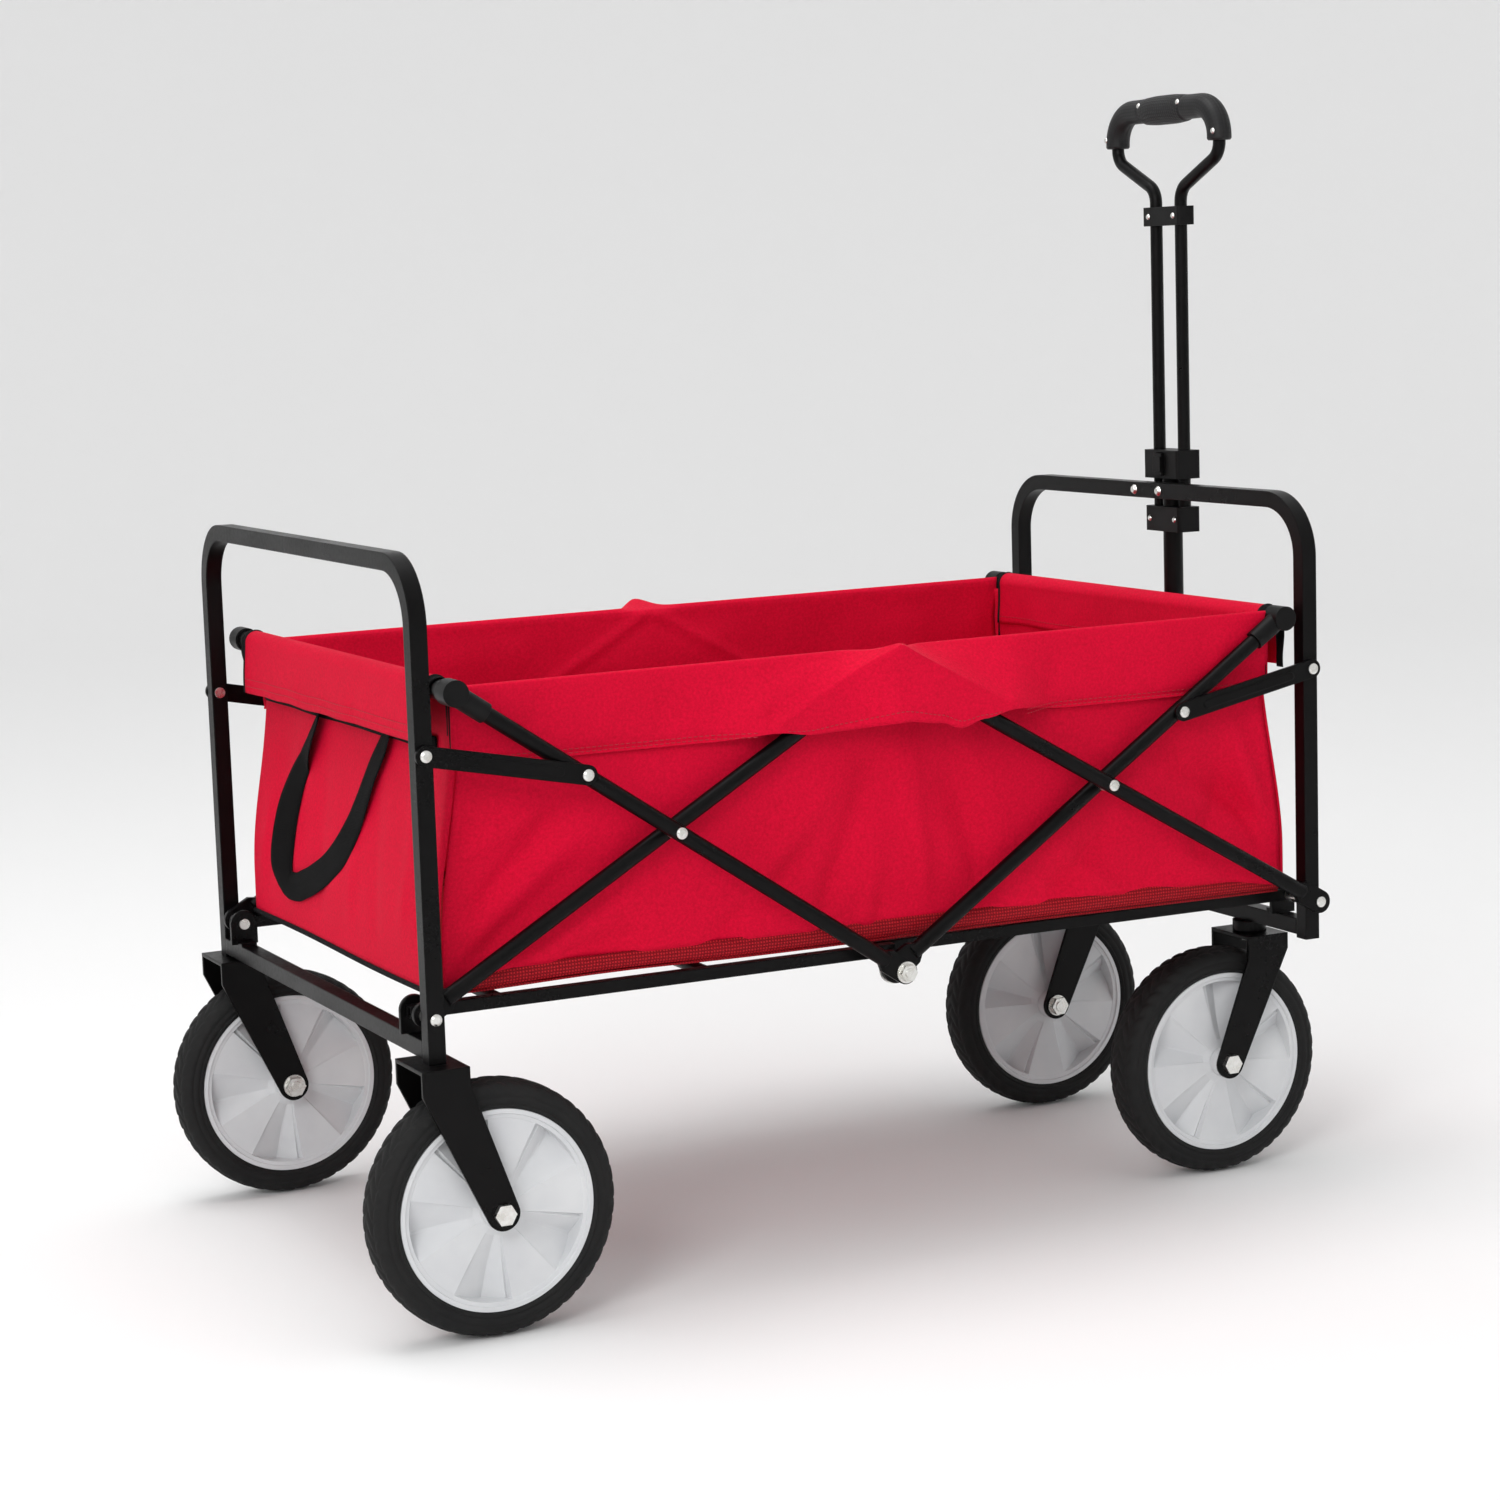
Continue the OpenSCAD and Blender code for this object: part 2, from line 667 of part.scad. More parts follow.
// A round tube swept along a path in the YZ plane at x
module sweep_yz(x, path, r, sides) {
  rings = len(path);
  points = [
    for (p = path) for (k = [0:sides - 1]) let (a = 360 * k / sides)
      [x + r * sin(a), p[0] - r * cos(a) * sin(p[2]), p[1] + r * cos(a) * cos(p[2])]
  ];
  walls = [
    for (i = [0:rings - 2]) for (k = [0:sides - 1]) let (n = (k + 1) % sides)
      [i * sides + k, (i + 1) * sides + k, (i + 1) * sides + n, i * sides + n]
  ];
  start = [for (k = [0:sides - 1]) k];
  finish = [for (k = [sides - 1:-1:0]) (rings - 1) * sides + k];
  polyhedron(points, concat([start], walls, [finish]));
}

module handle_loop_tube() color(black) sweep_yz(handle_x, loop_path, rod_r, 24);

module grip_shell(front) difference() {
  for (s = [-1, 1]) on_side(s) loop_top(grip_z0, grip_r);
  for (s = [-1, 1]) on_side(s) loop_top(grip_z0 - 5, rod_r);
  translate([front ? handle_x - 40 : handle_x, -200, grip_z0 - 50]) cube([40, 400, 150]);
}

module handle_grip_back() color(plastic) grip_shell(false);

module handle_grip_front() color(plastic) grip_shell(true);

module screw(x, y, z, l = 6) translate([x, y, z]) rotate([0, 90, 0]) {
  translate([0, 0, -1.2]) cylinder(r1 = 1.8, r2 = 2.8, h = 1.2);
  cylinder(r = 1.4, h = l);
}

module handle_screws() color(zinc) for (s = [-1, 1]) {
  screw(handle_x - 9, s * rod_y, (clamp_z0 + clamp_z1) / 2);
  screw(handle_x - block_x + 1, s * rod_y, (slide_z0 + slide_z1) / 2);
  screw(handle_x - grip_r + 1, s * 32, grip_z + 4.5, 3);
  screw(handle_x - grip_r + 1, s * (loop_y + 4.5), grip_z0 + 8, 3);
}

// ---- Fabric tub: side and end panels with their cuffs, and the floor
tub_x = half_l - 15;
cuff_z = 440;
module tub_panels() color(red) {
  for (s = [-1, 1]) on_side(s) {
    difference() {
      translate([-tub_x, tub_y - cloth_t, tub_bottom]) cube([2 * tub_x, cloth_t, tub_top - tub_bottom]);
      for (end = [-1, 1]) pin(flip(corner, end), 0, tub_y + 1, beam_r + 1);
    }
    translate([-tub_x + 32, tub_y, cuff_z]) cube([2 * tub_x - 64, 2, tub_top - cuff_z]);
  }
  for (end = [-1, 1]) {
    x_in = half_l - inset - beam_r - 1;
    y_in = tub_y - cloth_t;
    slab(-y_in, y_in) scale([end, 1]) {
      translate([tub_x - cloth_t, tub_bottom]) square([cloth_t, tub_top + 6 - tub_bottom]);
      translate([x_in - cloth_t, tub_top + 6 - cloth_t]) square([tub_x - x_in + cloth_t, cloth_t]);
      translate([x_in - cloth_t, cuff_z]) square([cloth_t, tub_top + 6 - cuff_z]);
    }
  }
}

module tub_floor() color(red) {
  x = tub_x - cloth_t;
  y = tub_y - cloth_t;
  translate([-x, -y, tub_bottom]) cube([2 * x, 2 * y, cloth_t]);
}

// ---- Webbing carry strap on the rear panel
strap_w = 26;
strap_t = 2;
strap_y = [-66, 113];
strap_z = [300, 456];
module carry_strap() color(black) translate([-tub_x - 1.5 - strap_t, 0, 0]) {
  for (y = strap_y) translate([0, y - strap_w / 2, strap_z[0]]) cube([strap_t, strap_w, strap_z[1] - strap_z[0]]);
  translate([0, strap_y[0] - strap_w / 2, strap_z[0]])
    cube([strap_t, strap_y[1] - strap_y[0] + strap_w, strap_w]);
}

rear_push_frame();
rear_crossbar();
rear_fork(1);  // rear_fork_left
rear_fork(-1);  // rear_fork_right
rear_axle_bolts();
rear_foot_bolts();
rear_post_rivets();
front_frame();
front_crossbar();
front_foot_bolts();
front_frame_rivets();
caster_kingpins();
handle_clip();
handle_bracket();
handle_pivot_bolt();
front_fork(1);  // front_fork_left
front_fork(-1);  // front_fork_right
front_axle_bolt(1);  // front_axle_bolt_left
front_axle_bolt(-1);  // front_axle_bolt_right
tyre(axle_in - half_l, rear_track);  // tyre_rear_left
tyre(axle_in - half_l, -rear_track);  // tyre_rear_right
tyre(half_l - axle_in, front_track);  // tyre_front_left
tyre(half_l - axle_in, -front_track);  // tyre_front_right
rim(axle_in - half_l, rear_track);  // rim_rear_left
rim(axle_in - half_l, -rear_track);  // rim_rear_right
rim(half_l - axle_in, front_track);  // rim_front_left
rim(half_l - axle_in, -front_track);  // rim_front_right
rear_lower_bar(1);  // rear_lower_bar_left
rear_lower_bar(-1);  // rear_lower_bar_right
rear_cross_rivets();
front_lower_bar(1);  // front_lower_bar_left
front_lower_bar(-1);  // front_lower_bar_right
front_bar_rivets();
rear_upper_bar(1);  // rear_upper_bar_left
rear_upper_bar(-1);  // rear_upper_bar_right
rear_upper_crossbar();
rear_connectors();
centre_bolts();
front_upper_bar(1);  // front_upper_bar_left
front_upper_bar(-1);  // front_upper_bar_right
front_upper_crossbar();
front_connectors();
rear_links();
rear_link_rivets();
front_links();
front_link_rivets();
rear_floor_rails();
front_floor_rails();
handle_centre_tube();
handle_guide_block();
handle_button();
handle_loop_tube();
handle_slide_block();
handle_clamp();
handle_grip_back();
handle_grip_front();
handle_screws();
tub_panels();
tub_floor();
carry_strap();
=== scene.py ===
"""The looks of a folding camp wagon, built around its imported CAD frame."""

import math

import bpy
import numpy as np
from mathutils import Matrix, Vector, noise
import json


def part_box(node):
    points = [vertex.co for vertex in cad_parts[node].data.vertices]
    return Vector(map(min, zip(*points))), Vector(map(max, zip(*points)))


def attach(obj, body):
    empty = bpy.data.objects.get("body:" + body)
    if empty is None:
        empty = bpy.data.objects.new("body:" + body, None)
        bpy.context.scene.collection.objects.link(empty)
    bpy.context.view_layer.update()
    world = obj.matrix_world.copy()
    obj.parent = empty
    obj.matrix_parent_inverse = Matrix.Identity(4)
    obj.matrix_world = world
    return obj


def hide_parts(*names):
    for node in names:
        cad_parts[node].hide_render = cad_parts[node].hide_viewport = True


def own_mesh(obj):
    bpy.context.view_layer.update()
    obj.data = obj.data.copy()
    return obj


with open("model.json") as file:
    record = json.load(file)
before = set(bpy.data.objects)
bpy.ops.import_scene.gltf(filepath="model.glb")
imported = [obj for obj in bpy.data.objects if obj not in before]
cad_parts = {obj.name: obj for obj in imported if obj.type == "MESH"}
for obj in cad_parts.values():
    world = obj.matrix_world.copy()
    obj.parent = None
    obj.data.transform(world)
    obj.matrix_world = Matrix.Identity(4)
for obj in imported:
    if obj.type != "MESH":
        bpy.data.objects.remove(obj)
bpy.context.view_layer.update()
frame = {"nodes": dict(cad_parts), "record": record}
scene = bpy.context.scene
MM = 0.001


# ------------------------------------------------------------------ places, from the CAD
def mid(node):
    low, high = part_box(node)
    return (low + high) / 2


def mm(v):
    return v / MM


HALF = mm(-mid("rear_push_frame").x)  # the posts' axis, each way from the middle
BEAM_X = mm(mid("front_upper_crossbar").x)
BEAM_Z = mm(mid("front_upper_crossbar").z)
BEAM_R = mm(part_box("front_upper_crossbar")[1].z) - BEAM_Z
panel_low, panel_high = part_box("tub_panels")
TUB_X = mm(panel_high.x)
SIDE_Y = mm(panel_high.y) - 2.0
TUB_Z = mm(panel_low.z)
BAR_REAR_Y = mm(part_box("rear_lower_bar_left")[1].y)
BAR_FRONT_Y = mm(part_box("front_lower_bar_left")[1].y)
PEAK_Z = mm(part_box("front_lower_bar_left")[1].z)


# ------------------------------------------------------------------ camera
def set_camera():
    az, el, roll = math.radians(-26.084), math.radians(7.913), math.radians(-1.839)
    back = Vector((math.sin(az) * math.cos(el), -math.cos(az) * math.cos(el), math.sin(el)))
    right = (-back).cross(Vector((0, 0, 1))).normalized()
    up = right.cross(-back)
    right_rolled = right * math.cos(roll) + up * math.sin(roll)
    up_rolled = up * math.cos(roll) - right * math.sin(roll)
    data = bpy.data.cameras.new("camera")
    camera = bpy.data.objects.new("camera", data)
    scene.collection.objects.link(camera)
    turn = Matrix((right_rolled, up_rolled, back)).transposed().to_4x4()
    aim = Vector((-0.01041, 0.0, 0.39914))
    camera.matrix_world = Matrix.Translation(aim + back * 2.9523) @ turn
    data.sensor_width = 36
    data.lens = 80.72
    data.clip_start, data.clip_end = 0.05, 60
    scene.camera = camera


set_camera()


# ------------------------------------------------------------------ node helpers
class Nodes:
    """A short way to write one material's nodes."""

    def __init__(self, name):
        self.material = bpy.data.materials.new(name)
        self.material.use_nodes = True
        self.tree = self.material.node_tree
        self.shader = self.tree.nodes["Principled BSDF"]

    def node(self, kind, inputs=None, **props):
        made = self.tree.nodes.new(kind)
        for key, value in props.items():
            setattr(made, key, value)
        for key, value in (inputs or {}).items():
            if isinstance(value, bpy.types.NodeSocket):
                self.tree.links.new(value, made.inputs[key])
            else:
                made.inputs[key].default_value = value
        return made

    def link(self, a, b):
        self.tree.links.new(a, b)

    def math(self, operation, a, b=0.0, c=0.0):
        return self.node("ShaderNodeMath", {0: a, 1: b, 2: c}, operation=operation).outputs[0]

    def noise(self, vector, scale, detail=3.0, rough=0.5):
        inputs = {"Vector": vector, "Scale": scale, "Detail": detail, "Roughness": rough}
        made = self.node("ShaderNodeTexNoise", inputs)
        return made.outputs["Fac"]

    def ramp(self, fac, low, high, a, b):
        """fac from low..high mapped to a..b"""
        made = self.node("ShaderNodeMapRange", {0: fac, 1: low, 2: high, 3: a, 4: b})
        return made.outputs[0]

    def colours(self, fac, stops):
        made = self.node("ShaderNodeValToRGB", {0: fac})
        ramp = made.color_ramp
        while len(ramp.elements) < len(stops):
            ramp.elements.new(0.5)
        for element, (at, colour) in zip(ramp.elements, stops):
            element.position = at
            element.color = (*colour, 1)
        return made.outputs[0]

    def bump(self, height, strength, distance, normal=None):
        inputs = {"Height": height, "Strength": strength, "Distance": distance}
        if normal is not None:
            inputs["Normal"] = normal
        return self.node("ShaderNodeBump", inputs).outputs[0]

    def bevel(self, radius):
        return self.node("ShaderNodeBevel", {"Radius": radius}, samples=4).outputs[0]

    def coords(self):
        return self.node("ShaderNodeTexCoord")

    def set(self, **values):
        for key, value in values.items():
            socket = self.shader.inputs[key.replace("_", " ")]
            if isinstance(value, bpy.types.NodeSocket):
                self.tree.links.new(value, socket)
            else:
                socket.default_value = value
        return self.material


def powder_coat():
    n = Nodes("powder_coat")
    at = n.coords().outputs["Object"]
    peel = n.noise(at, 900, 2)
    cloud = n.noise(at, 16, 4)
    specks = n.noise(at, 260, 2)
    colour = n.colours(cloud, [(0.3, (0.0016, 0.0014, 0.0015)), (0.7, (0.0030, 0.0027, 0.0028))])
    rough = n.math("ADD", n.ramp(cloud, 0.3, 0.7, 0.27, 0.36), n.ramp(specks, 0.35, 0.7, -0.02, 0.05))
    normal = n.bump(peel, 0.07, 0.0003, n.bevel(0.002))
    return n.set(Base_Color=colour, Roughness=rough, Normal=normal, Specular_IOR_Level=0.12)


def zinc():
    n = Nodes("zinc_plate")
    at = n.coords().outputs["Object"]
    cloud = n.noise(at, 180, 3)
    fine = n.noise(at, 1500, 2)
    colour = n.colours(cloud, [(0.3, (0.62, 0.61, 0.57)), (0.7, (0.82, 0.82, 0.8))])
    normal = n.bump(fine, 0.15, 0.0002, n.bevel(0.0004))
    return n.set(Base_Color=colour, Metallic=1.0, Roughness=n.ramp(cloud, 0.3, 0.7, 0.2, 0.38), Normal=normal)


def black_plastic():
    n = Nodes("black_plastic")
    at = n.coords().outputs["Object"]
    fine = n.noise(at, 1300, 2)
    cloud = n.noise(at, 25, 3)
    colour = n.colours(cloud, [(0.3, (0.0025, 0.0024, 0.0025)), (0.7, (0.0045, 0.0043, 0.0045))])
    normal = n.bump(fine, 0.3, 0.0002, n.bevel(0.0009))
    return n.set(Base_Color=colour, Roughness=n.ramp(cloud, 0.3, 0.7, 0.36, 0.48), Normal=normal,
                 Specular_IOR_Level=0.15)


def grip_plastic():
    """Soft plastic, with small six-sided cells over the middle of the grip."""
    n = Nodes("grip_plastic")
    tex = n.coords()
    at = tex.outputs["Object"]
    uv = tex.outputs["UV"]
    cells = n.node("ShaderNodeTexVoronoi", {"Vector": uv, "Scale": 330.0, "Randomness": 0.0},
                   feature="DISTANCE_TO_EDGE", voronoi_dimensions="2D").outputs["Distance"]
    edge = n.ramp(cells, 0.02, 0.22, 0.0, 1.0)
    y = n.node("ShaderNodeSeparateXYZ", {0: at}).outputs[1]
    middle = n.ramp(n.math("ABSOLUTE", y), 0.032, 0.0335, 1.0, 0.0)
    fine = n.noise(at, 1300, 2)
    height = n.math("ADD", n.math("MULTIPLY", edge, middle), n.math("MULTIPLY", fine, 0.12))
    colour = n.colours(n.noise(at, 30, 3), [(0.3, (0.006, 0.006, 0.0065)), (0.7, (0.011, 0.011, 0.0115))])
    return n.set(Base_Color=colour, Roughness=n.ramp(edge, 0.0, 1.0, 0.62, 0.44),
                 Normal=n.bump(height, 0.75, 0.0006), Specular_IOR_Level=0.3)


def tyre_rubber():
    n = Nodes("tyre_rubber")
    at = n.coords().outputs["Object"]
    fine = n.noise(at, 1100, 3, 0.6)
    cloud = n.noise(at, 28, 4)
    colour = n.colours(cloud, [(0.3, (0.007, 0.007, 0.0073)), (0.72, (0.014, 0.0138, 0.0135))])
    return n.set(Base_Color=colour, Roughness=n.ramp(cloud, 0.3, 0.7, 0.62, 0.8),
                 Normal=n.bump(fine, 0.45, 0.0004),
                 Specular_IOR_Level=0.22)


def rim_plastic():
    n = Nodes("rim_plastic")
    at = n.coords().outputs["Object"]
    cloud = n.noise(at, 22, 4)
    fine = n.noise(at, 700, 2)
    colour = n.colours(cloud, [(0.3, (0.60, 0.61, 0.63)), (0.7, (0.68, 0.69, 0.70))])
    return n.set(Base_Color=colour, Roughness=n.ramp(cloud, 0.3, 0.7, 0.34, 0.5),
                 Normal=n.bump(fine, 0.12, 0.0002),
                 Subsurface_Weight=0.05, Subsurface_Radius=(0.01, 0.01, 0.01), Subsurface_Scale=0.1)


def red_fabric(name="red_fabric", dark=(0.44, 0.0006, 0.015), light=(0.80, 0.0018, 0.040), pitch=0.0011):
    """Plain-woven polyester: over and under threads across and along, with a slight slub."""
    n = Nodes(name)
    tex = n.coords()
    uv = tex.outputs["UV"]
    at = tex.outputs["Object"]
    parts = n.node("ShaderNodeSeparateXYZ", {0: uv})
    u, v = parts.outputs[0], parts.outputs[1]
    across = n.math("SINE", n.math("MULTIPLY", u, math.tau / pitch))
    along = n.math("SINE", n.math("MULTIPLY", v, math.tau / pitch))
    weave = n.math("MULTIPLY", across, along)
    slub = n.noise(at, 420, 3, 0.7)
    cloud = n.noise(at, 9, 4)
    mixed = n.math("ADD", n.ramp(weave, -1.0, 1.0, 0.16, 0.44), n.ramp(slub, 0.3, 0.7, 0.0, 0.5))
    mixed = n.math("ADD", mixed, n.ramp(cloud, 0.3, 0.7, -0.06, 0.1))
    colour = n.colours(mixed, [(0.0, dark), (1.0, light)])
    height = n.math("ADD", n.ramp(weave, -1.0, 1.0, 0.0, 0.6), n.math("MULTIPLY", slub, 0.6))
    return n.set(Base_Color=colour, Roughness=0.72, Normal=n.bump(height, 0.5, 0.0005), Sheen_Weight=0.05,
                 Sheen_Roughness=0.4, Sheen_Tint=(1.0, 0.1, 0.15, 1.0), Specular_IOR_Level=0.1)


def red_mesh():
    """Netting: a dark red that is partly painted shade for its gaps, with small light dots painted on as
    highlights.
    """
    n = Nodes("red_mesh")
    uv = n.coords().outputs["UV"]
    highlight_dot_distance = n.node("ShaderNodeTexVoronoi", {"Vector": uv, "Scale": 380.0, "Randomness": 0.12},
                  feature="F1", voronoi_dimensions="2D").outputs["Distance"]
    cords_and_highlights = n.ramp(highlight_dot_distance, 0.28, 0.44, 0.0, 1.0)
    # Light dots at the cells' middles are painted highlights; the dark red round them is partly painted shade for
    # the netting's gaps.
    colour = n.colours(cords_and_highlights, [(0.0, (0.50, 0.012, 0.020)), (0.3, (0.25, 0.001, 0.008)),
                              (1.0, (0.22, 0.0008, 0.007))])
    return n.set(Base_Color=colour, Roughness=0.6, Normal=n.bump(cords_and_highlights, 0.8, 0.0008), Specular_IOR_Level=0.15)


def webbing(name="black_webbing", dark=(0.0012, 0.0012, 0.0013), light=(0.010, 0.0098, 0.010)):
    """Herringbone webbing, ribbed across its width."""
    n = Nodes(name)
    uv = n.coords().outputs["UV"]
    parts = n.node("ShaderNodeSeparateXYZ", {0: uv})
    u, v = parts.outputs[0], parts.outputs[1]
    fold = n.math("PINGPONG", u, 0.0032)
    rows = n.math("SINE", n.math("MULTIPLY", n.math("ADD", v, fold), math.tau / 0.0016))
    fine = n.noise(uv, 1800, 2)
    tone = n.math("ADD", n.ramp(rows, -1.0, 1.0, 0.1, 0.7), n.ramp(fine, 0.3, 0.7, -0.1, 0.25))
    colour = n.colours(tone, [(0.0, dark), (1.0, light)])
    return n.set(Base_Color=colour, Roughness=0.85, Normal=n.bump(tone, 0.8, 0.0006), Specular_IOR_Level=0.1)



def thread():
    n = Nodes("red_thread")
    at = n.coords().outputs["Object"]
    twist = n.noise(at, 2500, 2)
    colour = n.colours(twist, [(0.3, (0.36, 0.001, 0.012)), (0.7, (0.6, 0.004, 0.03))])
    return n.set(Base_Color=colour, Roughness=0.6, Normal=n.bump(twist, 0.4, 0.0002))


powder = powder_coat()
metal = zinc()
plastic = black_plastic()
grip_mat = grip_plastic()
rubber = tyre_rubber()
rim_mat = rim_plastic()
red = red_fabric()
red_net = red_mesh()
black_tape = webbing()
red_thread = thread()

BY_SLOT = {"frame_black": powder, "zinc": metal, "plastic_black": plastic, "grip": grip_mat, "tyre": rubber,
           "rim": rim_mat, "tub_fabric": red, "webbing": black_tape}
for part in frame["record"]["subparts"]:
    node = frame["nodes"][part["node"]]
    slots = node.data.materials
    if not len(slots):
        slots.append(None)
    for i in range(len(slots)):
        slots[i] = BY_SLOT[part["material_slot"]]


# ------------------------------------------------------------------ mesh helpers
def piece(name, verts, faces, material, body, uvs=None, smooth=True, scale=MM):
    mesh = bpy.data.meshes.new(name)
    mesh.from_pydata([tuple(v) for v in np.asarray(verts, float) * scale], [], [tuple(f) for f in faces])
    if uvs is not None:
        layer = mesh.uv_layers.new(name="UVMap")
        loops = np.zeros(len(mesh.loops), int)
        mesh.loops.foreach_get("vertex_index", loops)
        layer.data.foreach_set("uv", np.asarray(uvs, float)[loops].ravel())
    mesh.polygons.foreach_set("use_smooth", [smooth] * len(mesh.polygons))
    mesh.materials.append(material)
    mesh.update()
    obj = bpy.data.objects.new(name, mesh)
    scene.collection.objects.link(obj)
    if body:
        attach(obj, body)
    return obj


def grid_faces(nu, nv, wrap_u=False, wrap_v=False, start=0):
    faces = []
    for i in range(nu if wrap_u else nu - 1):
        for j in range(nv if wrap_v else nv - 1):
            a, b = start + i * nv + j, start + ((i + 1) % nu) * nv + j
            jn = (j + 1) % nv - j
            faces.append((a, b, b + jn, a + jn))
    return faces


def grid_uvs(points):
    """UVs in metres, from the distances along the grid's rows and columns."""
    p = np.asarray(points) * MM
    u = np.zeros(p.shape[:2])
    v = np.zeros(p.shape[:2])
    u[1:] = np.cumsum(np.linalg.norm(np.diff(p, axis=0), axis=2), axis=0)
    v[:, 1:] = np.cumsum(np.linalg.norm(np.diff(p, axis=1), axis=2), axis=1)
    u[:] = u.mean(axis=1, keepdims=True)
    return np.stack([u, v], axis=2).reshape(-1, 2)


def cloth_grid(name, points, material, body="tub", thick=1.2, flip=False, offset=0.0):
    nu, nv = points.shape[:2]
    faces = grid_faces(nu, nv)
    if flip:
        faces = [f[::-1] for f in faces]
    obj = piece(name, points.reshape(-1, 3), faces, material, body, grid_uvs(points))
    if thick:
        solid = obj.modifiers.new("thickness", "SOLIDIFY")
        solid.thickness = thick * MM
        solid.offset = offset
        bake_modifiers(obj)
    return obj


def bake_modifiers(obj):
    """The mesh as its modifiers leave it."""
    depsgraph = bpy.context.evaluated_depsgraph_get()
    made = bpy.data.meshes.new_from_object(obj.evaluated_get(depsgraph), depsgraph=depsgraph)
    obj.modifiers.clear()
    obj.data = made


def smooth_step(x, a, b):
    t = np.clip((x - a) / (b - a), 0, 1)
    return t * t * (3 - 2 * t)


def tube(name, path, radius, material, body, sides=10, closed=False, caps=True):
    """A round tube along a path, for piping and cords."""
    path = np.asarray(path, float)
    n = len(path)
    if closed:
        tangent = np.roll(path, -1, 0) - np.roll(path, 1, 0)
    else:
        tangent = np.gradient(path, axis=0)
    tangent /= np.linalg.norm(tangent, axis=1, keepdims=True)
    side = np.cross(tangent[0], [0.31, 0.47, 0.83])
    side /= np.linalg.norm(side)
    verts = []
    for i in range(n):
        side = side - tangent[i] * side.dot(tangent[i])
        side /= np.linalg.norm(side)
        other = np.cross(tangent[i], side)
        r = radius[i] if hasattr(radius, "__len__") else radius
        for k in range(sides):
            a = math.tau * k / sides
            verts.append(path[i] + r * (math.cos(a) * side + math.sin(a) * other))
    faces = grid_faces(n, sides, wrap_u=closed, wrap_v=True)
    if caps and not closed:
        faces.append(tuple(range(sides)))
        faces.append(tuple((n - 1) * sides + k for k in range(sides - 1, -1, -1)))
    lengths = np.zeros(n)
    lengths[1:] = np.cumsum(np.linalg.norm(np.diff(path, axis=0), axis=1))
    uvs = [(math.tau * 2 * k / sides * MM, lengths[i] * MM) for i in range(n) for k in range(sides)]
    return piece(name, verts, faces, material, body, uvs)


def ribbon(name, path, width_dirs, width, material, body, thick=1.4):
    """Flat webbing along a path. width_dirs says which way its width points at each place."""
    path, wide = np.asarray(path, float), np.asarray(width_dirs, float)
    n = len(path)
    tangent = np.gradient(path, axis=0)
    tangent /= np.linalg.norm(tangent, axis=1, keepdims=True)
    wide = wide - tangent * (wide * tangent).sum(1, keepdims=True)
    wide /= np.linalg.norm(wide, axis=1, keepdims=True)
    face = np.cross(tangent, wide)
    across = 7
    outline = []
    for k in range(across):
        outline.append((k / (across - 1) - 0.5, 0.5))
    for k in range(across):
        outline.append((0.5 - k / (across - 1), -0.5))
    widths = width if hasattr(width, "__len__") else [width] * n
    verts, uvs = [], []
    length = 0.0
    for i in range(n):
        if i:
            length += np.linalg.norm(path[i] - path[i - 1])
        for a, b in outline:
            edge = 0.45 if abs(a) > 0.49 else 1.0
            verts.append(path[i] + wide[i] * a * widths[i] + face[i] * b * thick * edge)
            uvs.append((a * widths[i] * MM, length * MM))
    m = len(outline)
    faces = grid_faces(n, m, wrap_v=True)
    faces.append(tuple(range(m)))
    faces.append(tuple((n - 1) * m + k for k in range(m - 1, -1, -1)))
    return piece(name, verts, faces, material, body, uvs)


# ------------------------------------------------------------------ wheels
def tyre_points(segments, radius, half):
    """The tyre's surface as rings of profile points, with its tread cut in."""
    profile = []
    for a in np.linspace(-1, 1, 23):  # across the tread
        profile.append((radius - 2.6 * abs(a) ** 3, a * (half - 4.6), 1.0))
    right = [(radius - 4.4, half - 2.6, 1.0), (radius - 7.2, half - 1.0, 0.75), (radius - 9.6, half - 0.4, 0.0),
             (radius - 10.6, half - 0.9, 0.0), (radius - 11.4, half - 0.9, 0.0), (radius - 12.2, half - 0.1, 0.0),
             (radius - 15.5, half, 0.0), (radius - 16.5, half - 0.8, 0.0), (radius - 17.3, half - 0.8, 0.0),
             (radius - 18.2, half - 0.1, 0.0), (radius - 20.4, half - 1.0, 0.0), (radius - 21.4, half - 2.6, 0.0),
             (radius - 25.0, half - 4.0, 0.0)]
    left = [(r, -y, t) for r, y, t in right[::-1]]
    profile = left + profile + right
    points = np.zeros((segments, len(profile), 3))
    teeth = 46
    for i in range(segments):
        a = math.tau * i / segments
        for j, (r, y, tread) in enumerate(profile):
            zig = abs(((y / (half * 0.52)) % 2.0) - 1.0)  # a zigzag across the tyre
            phase = (a * teeth / math.tau + zig * 0.85) % 1.0
            groove = math.exp(-(((phase - 0.5) / 0.16) ** 2))
            ring = math.exp(-(((abs(y) - half * 0.52) / 1.1) ** 2)) if abs(y) < half - 3 else 0.0
            deep = tread * max(1.5 * groove, 1.3 * ring)
            points[i, j] = ((r - deep) * math.cos(a), y, (r - deep) * math.sin(a))
    return points


